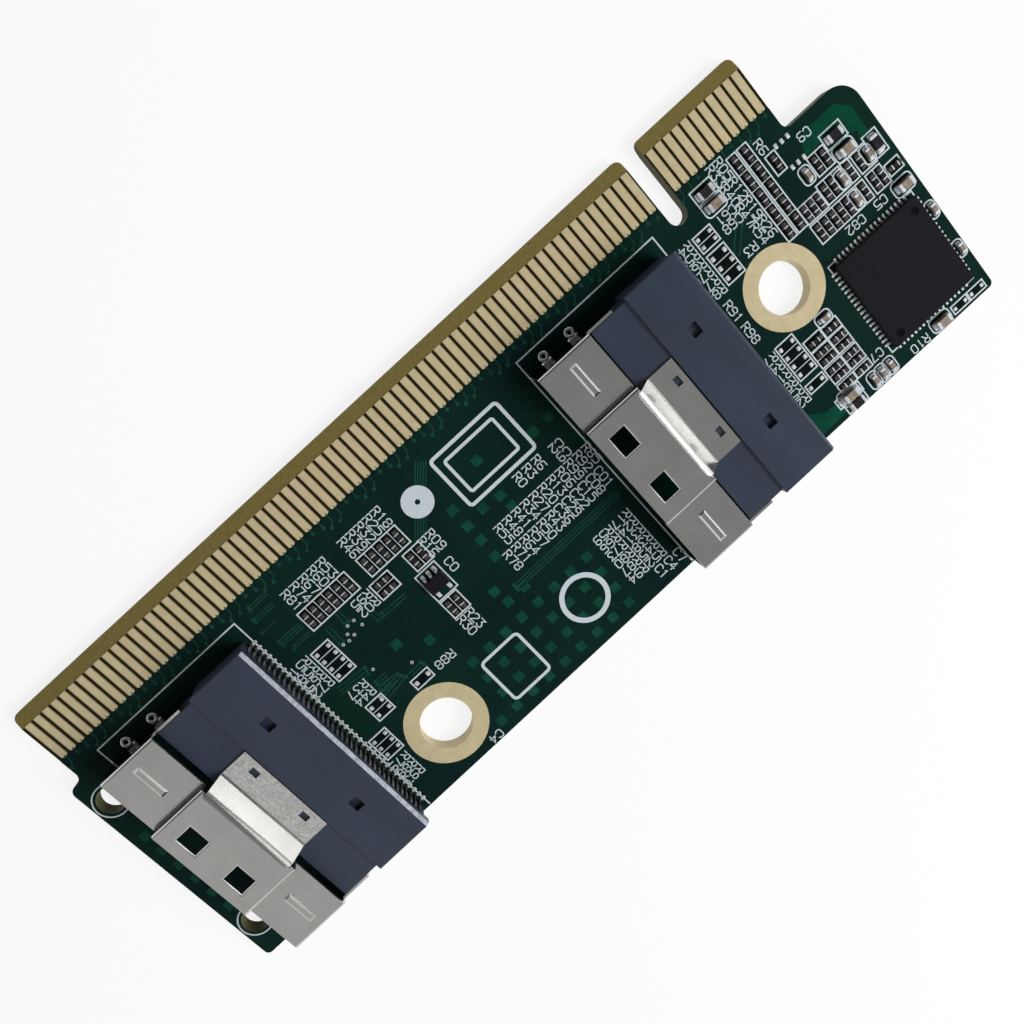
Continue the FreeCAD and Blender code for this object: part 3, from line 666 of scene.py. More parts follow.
def board_marks():
    """Plain panels, a disc, rings and the blocks of reference marks."""
    for left, right, low, high, radius, stroke in PANELS:
        print_path(rounded(left, right, low, high, radius), stroke, closed=True)
    for centre, inner, outer, steps in PRINT_RINGS:
        silk.ring(centre, inner, outer, PRINT_THICK, steps)
    for mount in frame["record"]["mounts"]:
        if mount["name"].startswith("end_hole"):
            centre = [place / MM for place in mount["pos_m"][:2]]
            silk.ring(centre, *END_HOLE_RING)
    number = FIRST_NUMBER
    for x, y, columns, rows, step_x, step_y, letter, digits, turned in MARK_BLOCKS:
        for column in range(columns):
            for row in range(rows):
                text = letter + str(number)[-digits:]
                print_mark(text, x + step_x * column, y + step_y * row, turned)
                number += NUMBER_STEP


# Footprints, with chip resistors or bare; the two pads of a cell lie along the axis
Footprint = namedtuple("Footprint", "left right low high columns rows axis")
FILLED_FOOTPRINTS = [Footprint(*row) for row in (
    (-17.2, -15.45, 16, 18, 2, 1, "y"), (-15.1, -14.2, 16, 18, 1, 1, "y"),
    (-14, -8.7, 16, 18, 6, 1, "y"), (-17.2, -15.4, 13.6, 15.7, 2, 1, "y"),
    (-15.1, -14.2, 13.6, 15.7, 1, 1, "y"), (-14, -11.3, 13.6, 15.7, 3, 1, "y"),
    (-11.2, -8.75, 14, 15.8, 3, 1, "y"), (-19, -17.4, 16.5, 17.7, 1, 1, "x"),
    (-14.05, -12.1, 11.2, 13.2, 2, 1, "y"), (-10.3, -9.2, 8.6, 10.6, 1, 1, "y"),
    (-8.7, -7.6, 6.4, 15.7, 1, 5, "y"), (-7.4, -6.35, 6.4, 15.7, 1, 5, "y"),
    (-5.6, -3.75, 23.75, 24.9, 1, 1, "x"), (-3.65, -1.65, 23.65, 24.9, 1, 1, "x"),
    (-5.6, -3.75, 25, 26.8, 1, 2, "x"), (-3.65, -1.65, 25, 26.8, 1, 2, "x"),
    (-5.6, -3.75, 27, 28.75, 1, 2, "x"), (-3.65, -1.65, 27, 28.75, 1, 2, "x"),
    (-5.6, -3.75, 29, 29.85, 1, 1, "x"), (-3.65, -1.65, 29, 29.85, 1, 1, "x"),
    (37.05, 38.95, 18.35, 20.35, 2, 1, "y"), (36.4, 38.35, 12.75, 14.75, 2, 1, "y"),
    (40.2, 42.35, 12.75, 14.55, 1, 2, "x"), (36.9, 41.55, 10.2, 12.3, 5, 1, "y"),
    (43, 48.65, 10.2, 12.3, 6, 1, "y"),
)]
BARE_FOOTPRINTS = [Footprint(*row) for row in (
    (-1.4, 0.7, 26.9, 27.85, 1, 1, "x"), (-1.4, 0.7, 22.2, 26.2, 1, 4, "x"),
    (-1.7, 0.35, 11.6, 14.85, 1, 3, "x"), (-1.7, 0.35, 9.55, 11.2, 1, 2, "x"),
    (-18.7, -16.75, 30.95, 31.8, 1, 1, "x"), (-16.6, -14.7, 30.95, 31.8, 1, 1, "x"),
    (43.95, 46, 21.9, 22.95, 1, 1, "x"), (48.6, 50.5, 20.75, 22.65, 1, 2, "x"),
    (48.35, 50.4, 13.7, 17.3, 1, 4, "x"), (50.65, 52.65, 23.4, 25.95, 1, 3, "x"),
    (-3.5, -0.6, 30, 31, 1, 1, "x"),
)]
SHADE_PATCH_THICK = 0.0045
PAD_SHARE_ALONG = 0.19
PAD_SHARE_ACROSS = 0.44
RESISTOR_BLACK = 0.54
RESISTOR_WIDE = 0.5
RESISTOR_HIGH = 0.33
RESISTOR_BAND = 0.11
RESISTOR_END = 0.4
BAND_PROUD = 0.02
END_RISE = 0.8
BLOCK_LEVELS = ((1.0, 0.0), (1.0, 0.84), (0.9, 1.0))
BLOCK_CUT = 0.08


def cells(footprint):
    """Middle, width and depth of each cell of a footprint."""
    wide = (footprint.right - footprint.left) / footprint.columns
    deep = (footprint.high - footprint.low) / footprint.rows
    for column in range(footprint.columns):
        for row in range(footprint.rows):
            yield footprint.left + wide * (column + 0.5), footprint.low + deep * (row + 0.5), wide, deep


def outline_footprint(footprint):
    """Printed outline, with a thin line between cells."""
    left, right, low, high = footprint[:4]
    print_path(rectangle(left, right, low, high), closed=True)
    for column in range(1, footprint.columns):
        x = left + (right - left) / footprint.columns * column
        print_path([(x, low), (x, high)], CELL_STROKE)
    for row in range(1, footprint.rows):
        y = low + (high - low) / footprint.rows * row
        print_path([(left, y), (right, y)], CELL_STROKE)


def along(axis, x, y, shift):
    """A spot that is shifted along an axis of the board."""
    return (x + shift, y) if axis == "x" else (x, y + shift)


def turned_size(axis, long, wide):
    """Extent in x and y of something that is long along an axis."""
    return (long, wide) if axis == "x" else (wide, long)


def bare_footprints():
    """Outlines whose pads carry only a skin of solder."""
    for footprint in BARE_FOOTPRINTS:
        axis = footprint.axis
        outline_footprint(footprint)
        for x, y, wide, deep in cells(footprint):
            long, broad = turned_size(axis, wide, deep)
            shift = long * (0.5 - PAD_SHARE_ALONG / 2) - OUTLINE_STROKE
            extent = turned_size(axis, long * PAD_SHARE_ALONG, broad * PAD_SHARE_ACROSS)
            for side in (-1, 1):
                solder.dome(along(axis, x, y, shift * side), extent, SOLDER_HIGH)


def holds_part(x, y, wide, deep):
    """True where a chip part of the frame stands in a cell."""
    return any(abs(part.middle.x - x) < wide / 2 and abs(part.middle.y - y) < deep / 2 for part in parts)


def filled_footprints():
    """Outlines whose cells hold small black resistors with wrapped ends."""
    middles = Piece()
    bands = Piece()
    ends = Piece()
    band_shift = (RESISTOR_BLACK + RESISTOR_BAND) / 2
    end_shift = RESISTOR_BLACK / 2 + RESISTOR_BAND + RESISTOR_END / 2
    for footprint in FILLED_FOOTPRINTS:
        axis = footprint.axis
        outline_footprint(footprint)
        middle_size = turned_size(axis, RESISTOR_BLACK + BAND_PROUD, RESISTOR_WIDE - BAND_PROUD * 2)
        band_size = turned_size(axis, RESISTOR_BAND, RESISTOR_WIDE)
        end_size = turned_size(axis, RESISTOR_END, RESISTOR_WIDE - BAND_PROUD)
        for x, y, wide, deep in cells(footprint):
            if holds_part(x, y, wide, deep):
                continue
            middles.dome((x, y), middle_size, RESISTOR_HIGH - BAND_PROUD, BLOCK_LEVELS, BLOCK_CUT)
            for side in (-1, 1):
                spot = along(axis, x, y, band_shift * side)
                bands.dome(spot, band_size, RESISTOR_HIGH, BLOCK_LEVELS, BLOCK_CUT)
                ends.dome(along(axis, x, y, end_shift * side), end_size, RESISTOR_HIGH * END_RISE)
    middles.build("resistor_bodies", looks["black_part"])
    bands.build("resistor_bands", looks["tin"])
    # The outer ends take the dark tin, which is painted shade
    ends.build("resistor_ends", looks["shaded_tin"], smooth=True)


def footprint_grounds():
    """Painted shade: a dark ground inside each footprint."""
    shade_patches = Piece()
    for footprint in FILLED_FOOTPRINTS + BARE_FOOTPRINTS:
        shade_patches.prism(rectangle(*footprint[:4]), SHADE_PATCH_THICK)
    shade_patches.build("footprint_grounds", looks["ground"])


# Chip parts as the frame holds them: the box of each, its two ends and the middle of its body
ChipPart = namedtuple("ChipPart", "kind low high ends middle")


def chip_parts():
    found = []
    for kind in ("large_capacitor", "small_capacitor", "black_chip"):
        ends = solids_of(kind + "_ends")
        for body_low, body_high in solids_of(kind + "_bodies"):
            middle = (body_low + body_high) / 2
            own = sorted(ends, key=lambda pair: ((pair[0] + pair[1]) / 2 - middle).length)[:2]
            low, high = corners([spot for pair in own for spot in pair])
            found.append(ChipPart(kind, low, high, own, middle))
    return found


parts = chip_parts()


def placed_parts():
    """Outline and solder of each chip part on the board."""
    margin = 0.38
    corner = 0.45
    reach = 0.22
    wetted = 0.45
    for part in parts:
        left = max(part.low.x - margin, SHORT_END + OUTLINE_STROKE)
        right = part.high.x + margin
        near = part.low.y - margin
        far = min(part.high.y + margin, FAR - OUTLINE_STROKE)
        if part.kind == "black_chip":
            print_path(rectangle(left, right, near, far), closed=True)
        else:
            print_path(rounded(left, right, near, far, corner), closed=True)
        for low, high in part.ends:
            centre = (low + high) / 2
            outward = (centre - part.middle).normalized()
            room = min(reach, (FAR - high.y) / 2, (low.x - SHORT_END) / 2)
            spot = centre + outward * room / 2
            extent = (high.x - low.x + room * abs(outward.x), high.y - low.y + room * abs(outward.y))
            solder.dome((spot.x, spot.y), extent, (high.z - TOP) * wetted)


def transistor_pads():
    """Two rows of three bare pads near the short end."""
    pitch = 0.7
    pad = (0.36, 0.5)
    for x, y in ((-12.1, 10.9), (-12.0, 8.5)):
        for column in range(3):
            solder.dome((x + pitch * column, y), pad, SOLDER_HIGH)


def square_chip_pads():
    """Tinned pads that run out from under the square chip, and its corner marks."""
    low, high = box_mm("clock_chip_body")
    reach = 0.55
    for lead_low, lead_high in solids_of("clock_chip_leads"):
        centre = (lead_low + lead_high) / 2
        offset = centre - (low + high) / 2
        wide = lead_high - lead_low
        axis = 0 if abs(offset.x) > abs(offset.y) else 1
        edge = high[axis] if offset[axis] > 0 else low[axis]
        centre[axis] = edge + math.copysign(reach / 2, offset[axis])
        wide[axis] = reach
        solder.dome(centre, wide, SOLDER_HIGH)
    tick = 0.8
    gap = 0.3
    for side_x, x in ((-1, low.x - gap), (1, high.x + gap)):
        for side_y, y in ((-1, low.y - gap), (1, high.y + gap)):
            print_path([(x - side_x * tick, y), (x, y), (x, y - side_y * tick)])


def small_chip_pads():
    """Tinned pads under the leads of the small chip, and its outline."""
    low, high = box_mm("logic_chip_body")
    outward = 0.16
    margin_x = 0.12
    margin_y = 0.2
    gap_x = 0.15
    gap_y = 0.95
    for lead_low, lead_high in solids_of("logic_chip_leads"):
        centre = (lead_low + lead_high) / 2
        shift = math.copysign(outward, centre.y - (low.y + high.y) / 2)
        extent = (lead_high.x - lead_low.x + margin_x, lead_high.y - lead_low.y + margin_y)
        solder.dome((centre.x, centre.y + shift), extent, SOLDER_HIGH)
    print_path(rectangle(low.x - gap_x, high.x + gap_x, low.y - gap_y, high.y + gap_y), closed=True)


# Print and solder of the receptacles, measured from the housing and the shell
PORT_BACK = 0.14
PORT_NEAR = 1.75
PORT_FRONT = 0.08
PORT_FAR = 0.2
PORT_TWO_TICK = 1.9
TAIL_LONG = 0.72
TAIL_BACK = 0.08
TAIL_MARGIN = 0.08
LEG_SETBACKS = (2.1, 5.2)
LEG_ASIDE = 0.55
# Solder round a leg: inner radius, outer radius, height, steps
LEG_RING = (0.22, 0.5, 0.06, 20)


def port_marks():
    """Outline, tail solder and leg solder of each receptacle; the outline of port two stops short."""
    far = FAR - PORT_FAR
    for port in PORTS:
        low, high = box_mm(port + "_shell")
        back = box_mm(port + "_housing")[0].x - PORT_BACK
        near = low.y - PORT_NEAR
        front = high.x + PORT_FRONT
        stop = far if port == PORTS[0] else near + PORT_TWO_TICK
        print_path([(back, far), (back, near), (front, near), (front, stop)])
        for tail_low, tail_high in solids_of(port + "_upper_contacts"):
            spot = (tail_low.x - TAIL_BACK, (tail_low.y + tail_high.y) / 2)
            solder.dome(spot, (TAIL_LONG, tail_high.y - tail_low.y + TAIL_MARGIN), SOLDER_HIGH)
        for setback in LEG_SETBACKS:
            spot = (high.x - setback, low.y - LEG_ASIDE)
            solder.ring(spot, *LEG_RING)


# Copper under the mask
SQUARE_PITCH = 2.04
SQUARE_HALF = 0.45
SQUARE_GRID = (26.35, 24.6)
SQUARE_COLUMNS = 9
SQUARE_ROWS = 4
END_SQUARES_BACK = 1.3
END_SQUARES_FIRST = 15.6
END_SQUARES = 6
LOOSE_SQUARES = [
    (32.4, 22.6), (34.7, 21.0), (32.4, 18.6), (28.3, 14.8), (32.3, 14.8), (32.3, 12.8), (42.0, 20.2),
    (44.4, 18.4), (27.7, 11.0), (34.4, 22.6), (32.3, 16.6), (20.3, 12.5), (22.25, 12.55),
    (30.2, 14.55), (28.15, 16.2),
]
RING_CLEAR = 0.7
TRACE_WIDE = 0.1
# Stubs above the fingers, in turn: length and sideways lean
STUBS = ((0.55, 0.0), (1.3, 0.45), (1.3, 0.45), (0.8, 0.0))
UNDER_STUB = 1.2
# Bundles of traces: start and end of the first one, how many, and the step to the next one
BUNDLES = (
    ((31, 7.95), (36.2, 13.5), 5, (0.17, -0.16)), ((49.1, 6.8), (51.1, 6.8), 2, (0.05, 0.3)),
    ((49.5, 7.9), (51.6, 7.9), 2, (0, 0.3)), ((50.3, 9.3), (51.9, 9.3), 1, (0, 0.3)),
    ((49.1, 10.85), (51.5, 10.85), 3, (-0.05, 0.28)), ((48.9, 12.05), (50.8, 12.05), 2, (0.2, 0.25)),
    ((47, 19.6), (48.2, 19.6), 3, (0, 0.32)), ((46.6, 20.3), (48.3, 20.3), 3, (0.1, 0.3)),
    ((43.6, 13), (43.6, 15.6), 2, (0.4, 0)), ((20.3, 21.8), (33, 21.8), 3, (0, 0.3)),
    ((-4.6, 11), (-2.2, 13.4), 2, (0.4, -0.4)), ((40.7, 15.4), (43.3, 15.3), 2, (0, 0.35)),
    ((47.4, 12.9), (47.5, 14.8), 2, (0.42, 0)), ((45.8, 12.6), (45.9, 13.8), 2, (0.4, -0.1)),
    ((51, 17.6), (47.9, 17.95), 3, (0.1, 0.36)), ((48.3, 21.55), (45.9, 21.25), 3, (0.2, -0.36)),
    ((45.4, 21.55), (43.9, 21.5), 2, (0.1, -0.34)),
)
VIA_SPOTS = (
    (46.25, 14.05), (46.4, 15.05), (47.1, 15.15), (47.75, 15.05), (45.25, 14.85), (45.5, 14.05),
    (47.5, 18.6), (46.8, 14.6), (44.6, 20.6), (48.9, 21.0),
)
# Rings where traces end: inner radius, outer radius, height, steps
VIA_RING = (0.07, 0.16, 0.009, 12)
DOT_RING = (0.07, 0.18, 0.009, 12)
POUR_THICK = 0.003
POURS = (
    [(-18.2, 10.4), (-17, 9.2), (-13.4, 9.2), (-12.4, 10.2), (-12.4, 11), (-14.3, 11),
     (-17.3, 12.4), (-17.3, 14), (-18.2, 14)],
    [(-3.2, 31.2), (-3.2, 30.2), (0.6, 30.2), (2.4, 29), (2.4, 31.6), (-2.8, 31.6)],
)


def near_ring(x, y):
    """True where a spot lies on a mount ring or close beside it."""
    for node in ("mount_ring_one", "mount_ring_two"):
        low, high = box_mm(node)
        centre = (low + high) / 2
        if math.hypot(x - centre.x, y - centre.y) < (high.x - low.x) / 2 + RING_CLEAR:
            return True
    return False


def copper_squares():
    """Copper squares of the fill pattern, seen through the mask."""
    squares = Piece()
    spots = [(SQUARE_GRID[0] + SQUARE_PITCH * column, SQUARE_GRID[1] + SQUARE_PITCH * row)
             for column in range(SQUARE_COLUMNS) for row in range(SQUARE_ROWS)]
    end_x = LONG_END - END_SQUARES_BACK
    spots += [(end_x, END_SQUARES_FIRST + SQUARE_PITCH * row) for row in range(END_SQUARES)]
    for x, y in spots + LOOSE_SQUARES:
        if not near_ring(x, y):
            outline = rectangle(x - SQUARE_HALF, x + SQUARE_HALF, y - SQUARE_HALF, y + SQUARE_HALF)
            squares.prism(outline, TRACE_THICK)
    squares.build("copper_squares", looks["square"])


def traces():
    """Runs of copper under the mask: stubs above the fingers and a few bundles."""
    runs = Piece()
    dots = []
    for index, (low, high) in enumerate(fingers):
        x = (low.x + high.x) / 2
        length, lean = STUBS[index % len(STUBS)]
        spots = [(x, FINGER_END), (x, FINGER_END + length - lean), (x + lean, FINGER_END + length)]
        runs.path(spots, TRACE_WIDE, TOP, TOP + TRACE_THICK)
        dots.append(spots[-1])
    for start, end, count, step in BUNDLES:
        for index in range(count):
            shift = Vector(step) * index
            last = Vector(end) + shift
            runs.path([Vector(start) + shift, last], TRACE_WIDE, TOP, TOP + TRACE_THICK)
            dots.append(last)
    for dot in dots:
        runs.ring(dot, *DOT_RING)
    for low, high in solids_of("gold_fingers_bottom"):
        x = (low.x + high.x) / 2
        runs.path([(x, FINGER_END), (x, FINGER_END + UNDER_STUB)], TRACE_WIDE, UNDER - TRACE_THICK, UNDER)
    runs.build("mask_traces", looks["trace"])


def vias():
    """Small tinned holes where traces change sides."""
    for spot in VIA_SPOTS:
        solder.ring(spot, *VIA_RING)


def copper_pours():
    """Broad copper areas under the mask, with cut corners."""
    pours = Piece()
    for outline in POURS:
        pours.prism(outline, POUR_THICK)
    pours.build("copper_pours", looks["pour"])


def finger_tips():
    """Round end of each contact finger, where the mask lets go of the plating."""
    tips = Piece()
    reach = 0.13
    steps = 6
    lift = 0.002
    for low, high in fingers:
        half = (high.x - low.x) / 2
        middle = (low.x + high.x) / 2
        outline = [(low.x, FINGER_END - reach), (high.x, FINGER_END - reach)]
        for index in range(steps + 1):
            turn = math.pi * index / steps
            outline.append((middle + half * math.cos(turn), FINGER_END + reach * math.sin(turn)))
        tips.prism(outline, high.z + lift - TOP)
    tips.build("finger_tips", looks["gold"])


# The square chip: its soft edges, the wall of a dimple as share of the radius and depth,
# and each dimple as its distance from two sides and its radius
CHIP_SOFT = 0.07
CHIP_SOFT_SHARE = 0.3
CHIP_CORNER = 0.15
DIMPLE_WALL = ((1.0, 0.0), (0.93, 0.025), (0.86, DIMPLE_DEEP))
DIMPLE_STEPS = 40
DIMPLE_NEAR = (0.95, 1.1, 0.42)
DIMPLE_FAR = (1.1, 0.95, 0.46)


def chip_body():
    """Square chip with softened edges and two moulded dimples in its top."""
    low, high = box_mm("clock_chip_body")
    mesh = bmesh.new()

    def loop(outline, level):
        return [mesh.verts.new((x * MM, y * MM, level * MM)) for x, y in outline]

    def band(lower, upper):
        for index in range(len(lower)):
            following = (index + 1) % len(lower)
            mesh.faces.new((lower[index], lower[following], upper[following], upper[index]))

    def rim(spots):
        return [mesh.edges.get((first, second)) for first, second in zip(spots, spots[1:] + spots[:1])]

    eased = CHIP_SOFT * CHIP_SOFT_SHARE
    steps = ((CHIP_SOFT, low.z), (0.0, low.z + CHIP_SOFT), (0.0, high.z - CHIP_SOFT),
             (eased, high.z - eased), (CHIP_SOFT, high.z))
    loops = [loop(rounded(low.x + inset, high.x - inset, low.y + inset, high.y - inset, CHIP_CORNER), level)
             for inset, level in steps]
    for lower, upper in zip(loops, loops[1:]):
        band(lower, upper)
    mesh.faces.new(loops[0][::-1])
    edges = rim(loops[-1])
    dimples = ((low.x + DIMPLE_NEAR[0], low.y + DIMPLE_NEAR[1], DIMPLE_NEAR[2]),
               (high.x - DIMPLE_FAR[0], high.y - DIMPLE_FAR[1], DIMPLE_FAR[2]))
    for x, y, radius in dimples:
        rings = []
        for share, depth in DIMPLE_WALL:
            circle = arc(x, y, radius * share, 0, 360, DIMPLE_STEPS)[:-1]
            rings.append(loop(circle, high.z - depth))
        for lower, upper in zip(rings[1:], rings):
            band(lower, upper)
        mesh.faces.new(rings[-1])
        edges += rim(rings[0])
    bmesh.ops.triangle_fill(mesh, use_beauty=True, edges=edges)
    bmesh.ops.recalc_face_normals(mesh, faces=mesh.faces)
    data = bpy.data.meshes.new("moulded_chip")
    mesh.to_mesh(data)
    mesh.free()
    item = add_piece("moulded_chip", data, looks["chip"])
    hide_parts("clock_chip_body")


# The folded shells: lengths and areas are in millimetres; facing, upward and upright limit a unit normal
SLOPE_RUN = 1.35
SLOPE_AREA = 5.0
SLOPE_FACING = (0.2, 0.95)
FOOT_GAP = 0.05
LEVEL_GAP = 0.02
CROWN_BEND = 0.42
FOOT_BEND = 0.14
BEND_STEPS = 8
RIB_LEAN = 0.17
RIB_AREA = (2.0, 3.0)
WINDOW_ROLL = 0.15
WINDOW_STEPS = 3
WINDOW_EDGES = (1.0, 2.4)
UPWARD = 0.99
UPRIGHT = 0.01


def lies_at(edge, level):
    """True for an edge that lies flat at a level."""
    return all(abs(vertex.co.z - level) < LEVEL_GAP * MM for vertex in edge.verts)


def roll_edges(mesh, edges, width, steps):
    """Gives edges of a mesh a smooth round."""
    made = bmesh.ops.bevel(mesh, geom=edges, offset=width * MM, offset_type="OFFSET", segments=steps,
                           profile=0.5, affect="EDGES", clamp_overlap=True)
    for face in made["faces"]:
        face.smooth = True


def ease_slope(slopes):
    """Moves the foot of the slope, on both skins of the sheet, so that the slope has its run."""
    for face in slopes:
        lowest = min(vertex.co.z for vertex in face.verts)
        back = max(vertex.co.x for vertex in face.verts)
        foot = [vertex for vertex in face.verts if vertex.co.z < lowest + FOOT_GAP * MM]
        shift = back - SLOPE_RUN * MM - min(vertex.co.x for vertex in foot)
        for vertex in foot:
            vertex.co.x += shift


def bend_slope(mesh, crown, foot):
    """Round bends where the slope meets the crown and the tongue."""
    for bend, level in ((CROWN_BEND, crown), (FOOT_BEND, foot)):
        edges = [edge for edge in mesh.edges if lies_at(edge, level)
                 and any(face.normal.z > SLOPE_FACING[0] and face.normal.x < -SLOPE_FACING[0]
                         for face in edge.link_faces)]
        roll_edges(mesh, edges, bend, BEND_STEPS)


def lean_ribs(mesh):
    """Gives the pressed ribs of the side pads sloping sides."""
    for face in mesh.faces:
        if face.normal.z < UPWARD or not RIB_AREA[0] < face.calc_area() / MM ** 2 < RIB_AREA[1]:
            continue
        centre = face.calc_center_median()
        for vertex in face.verts:
            vertex.co.x += math.copysign(RIB_LEAN * MM, centre.x - vertex.co.x)
            vertex.co.y += math.copysign(RIB_LEAN * MM, centre.y - vertex.co.y)


def roll_windows(mesh, crown):
    """Rolls the upper edges of the windows that are punched through the crown."""
    edges = [edge for edge in mesh.edges if lies_at(edge, crown)
             and WINDOW_EDGES[0] < edge.calc_length() / MM < WINDOW_EDGES[1]
             and any(abs(face.normal.z) < UPRIGHT for face in edge.link_faces)
             and any(face.normal.z > UPWARD for face in edge.link_faces)]
    roll_edges(mesh, edges, WINDOW_ROLL, WINDOW_STEPS)


def folded_shell(port):
    """Shell of a receptacle with an easier slope, round bends, leaning ribs and rolled windows."""
    node = port + "_shell"
    name = port + "_folded_shell"
    mesh = bmesh.new()
    mesh.from_mesh(frame["nodes"][node].data)
    bmesh.ops.remove_doubles(mesh, verts=mesh.verts, dist=WELD_LIMIT)
    bmesh.ops.dissolve_limit(mesh, angle_limit=FLAT_ANGLE, verts=mesh.verts, edges=mesh.edges)
    mesh.normal_update()
    slopes = [face for face in mesh.faces
              if abs(face.normal.y) < UPRIGHT and SLOPE_FACING[0] < abs(face.normal.z) < SLOPE_FACING[1]
              and face.calc_area() > SLOPE_AREA * MM ** 2]
    ease_slope(slopes)
    upper = next(face for face in slopes if face.normal.z > 0)
    levels = [vertex.co.z for vertex in upper.verts]
    crown = max(levels)
    bend_slope(mesh, crown, min(levels))
    lean_ribs(mesh)
    roll_windows(mesh, crown)
    data = bpy.data.meshes.new(name)
    mesh.to_mesh(data)
    mesh.free()
    item = add_piece(name, data, looks["shell"])
    soften(item, EDGE_ROUNDS["shell"])
    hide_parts(node)


dress_solids()
bare_footprints()
filled_footprints()
transistor_pads()
chip_body()
finger_tips()
for port in PORTS:
    folded_shell(port)
copper_pours()
footprint_grounds()
vias()
placed_parts()
square_chip_pads()
small_chip_pads()
port_marks()
board_marks()
copper_squares()
traces()
silk.build("board_print", looks["print"])
solder.build("solder_joints", looks["tin"], smooth=True)

# Stage, light and camera
WHITE = (1, 1, 1, 1)
STAGE_HALF = 3.0
FLOOR_GAP = 0.02
FLOOR_WHITE = 0.9
FLOOR_ROUGH = 0.9
FLOOR_GLOW = 0.85
SURROUND_MIDDLE = 0.335
SURROUND_TILT = 0.37
SURROUND_LOW = 0.02
SHADE_FROM = -0.35
SHADE_TO = 0.2
SHADE_LEFT = 0.18
BACKDROP_FULL = 0.42
BACKDROP_END = 0.6
BOARD_MIDDLE = ((SHORT_END + LONG_END) / 2, FAR / 2, TOP)
# Lamps: name, place, width, watts, and whether polished faces mirror the lamp
LAMPS = (
    ("key", (-128, 219, 268), 260, 1.38, False),
    ("side", (-277, 116, 134), 80, 0.045, True),
    ("bend", (-138, 97, 243), 90, 0.035, True),
)


def white_for_eye(nodes, lit, glow, strength):
    """Mixes a white glow into what is lit, where the eye, a mirror or a glass sees it."""
    ray = nodes.node("ShaderNodeLightPath").outputs
    seen = nodes.math("MAXIMUM", ray["Is Camera Ray"], ray["Is Glossy Ray"])
    seen = nodes.math("MAXIMUM", seen, ray["Is Transmission Ray"])
    mixed = nodes.node("ShaderNodeMixShader")
    nodes.feed(mixed.inputs["Fac"], nodes.times(seen, strength))
    nodes.feed(mixed.inputs[1], lit)
    nodes.feed(mixed.inputs[2], glow)
    return mixed.outputs[0]


def make_floor():
    """Pale floor just under the card."""
    level = UNDER * MM - FLOOR_GAP * MM
    outline = rectangle(-STAGE_HALF, STAGE_HALF, -STAGE_HALF, STAGE_HALF)
    mesh = bpy.data.meshes.new("floor")
    mesh.from_pydata([(x, y, level) for x, y in outline], [], [(0, 1, 2, 3)])
    floor = add_object("floor", mesh)
    material = bpy.data.materials.new("pale_floor")
    material.use_nodes = True
    nodes = Nodes(material.node_tree)
    plain = nodes.tree.nodes["Principled BSDF"]
    plain.inputs["Base Color"].default_value = (FLOOR_WHITE, FLOOR_WHITE, FLOOR_WHITE, 1)
    plain.inputs["Roughness"].default_value = FLOOR_ROUGH
    glow = nodes.node("ShaderNodeEmission")
    seen = white_for_eye(nodes, plain.outputs[0], glow.outputs[0], FLOOR_GLOW)
    nodes.feed(nodes.tree.nodes["Material Output"].inputs["Surface"], seen)
    mesh.materials.append(material)


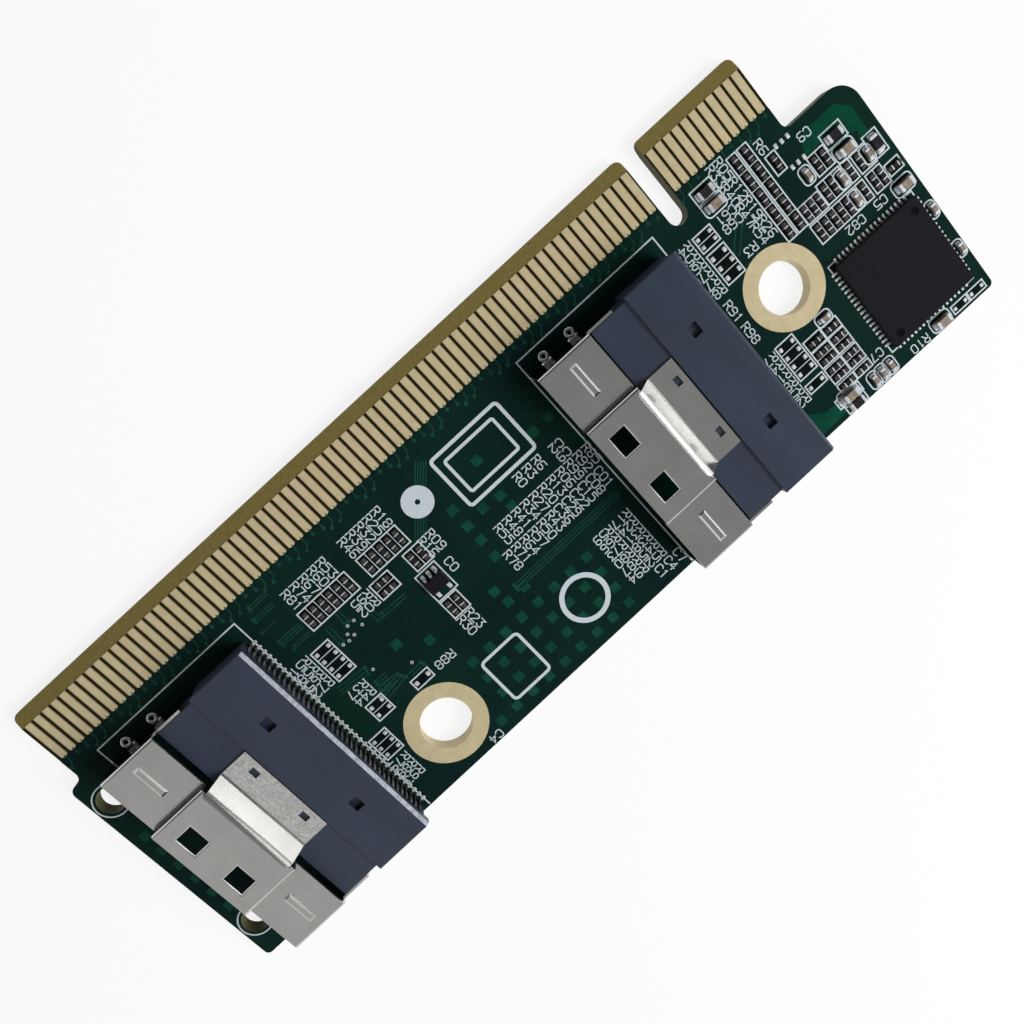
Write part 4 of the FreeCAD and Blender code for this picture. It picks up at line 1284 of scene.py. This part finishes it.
def make_world():
    """Grey surround, brighter over the long end and dark on the plug-in side, over a low white backdrop."""
    world = bpy.data.worlds.new("studio")
    world.use_nodes = True
    nodes = Nodes(world.node_tree)
    direction = nodes.node("ShaderNodeTexCoord").outputs["Generated"]
    darkest = (SURROUND_LOW - SURROUND_MIDDLE) / SURROUND_TILT
    brightest = SURROUND_MIDDLE + SURROUND_TILT
    tilt = nodes.ramp(nodes.part_of(direction, "X"), darkest, 1.0, SURROUND_LOW, brightest)
    shade = nodes.ramp(nodes.part_of(direction, "Y"), SHADE_FROM, SHADE_TO, SHADE_LEFT, 1.0)
    backdrop = nodes.ramp(nodes.part_of(direction, "Z"), BACKDROP_FULL, BACKDROP_END, 1.0, 0.0)
    plain = nodes.tree.nodes["Background"]
    plain.inputs["Color"].default_value = WHITE
    nodes.feed(plain.inputs["Strength"], nodes.times(tilt, shade))
    white = nodes.node("ShaderNodeBackground")
    white.inputs["Color"].default_value = WHITE
    seen = white_for_eye(nodes, plain.outputs[0], white.outputs[0], backdrop)
    nodes.feed(nodes.tree.nodes["World Output"].inputs["Surface"], seen)
    bpy.context.scene.world = world


def make_lamp(name, place_mm, wide_mm, watts, mirrored):
    """Round soft lamp aimed at the middle of the board."""
    lamp = bpy.data.lights.new(name, "AREA")
    lamp.shape = "DISK"
    lamp.size = wide_mm * MM
    lamp.energy = watts
    item = add_object(name, lamp)
    item.visible_glossy = mirrored
    item.location = Vector(place_mm) * MM
    item.rotation_euler = (Vector(BOARD_MIDDLE) - Vector(place_mm)).to_track_quat("-Z", "Y").to_euler()


# The view of the photograph: nearly straight down, with the long side running down to the left
EYE_MM = (25.165, -3.097, 82.401)
LOOK_AT_MM = (24.823, 16.564, 1.57)
EYE_ROLL = 136.266
FOCAL_PIXELS = 921.03
CENTRE_PIXELS = (541.64, 483.67)
IMAGE_PIXELS = 1024
SENSOR_MM = 36.0


def make_camera():
    data = bpy.data.cameras.new("view")
    data.sensor_width = SENSOR_MM
    data.lens = FOCAL_PIXELS / IMAGE_PIXELS * SENSOR_MM
    data.shift_x = (IMAGE_PIXELS / 2 - CENTRE_PIXELS[0]) / IMAGE_PIXELS
    data.shift_y = (CENTRE_PIXELS[1] - IMAGE_PIXELS / 2) / IMAGE_PIXELS
    data.clip_start = MM
    item = add_object("view", data)
    aim = Vector(LOOK_AT_MM) - Vector(EYE_MM)
    turn = aim.to_track_quat("-Z", "Y").to_matrix().to_4x4()
    roll = Matrix.Rotation(math.radians(EYE_ROLL), 4, "Z")
    item.matrix_world = Matrix.Translation(Vector(EYE_MM) * MM) @ turn @ roll
    bpy.context.scene.camera = item


make_floor()
make_world()
for lamp in LAMPS:
    make_lamp(*lamp)
make_camera()
bpy.context.scene.view_settings.view_transform = "Standard"
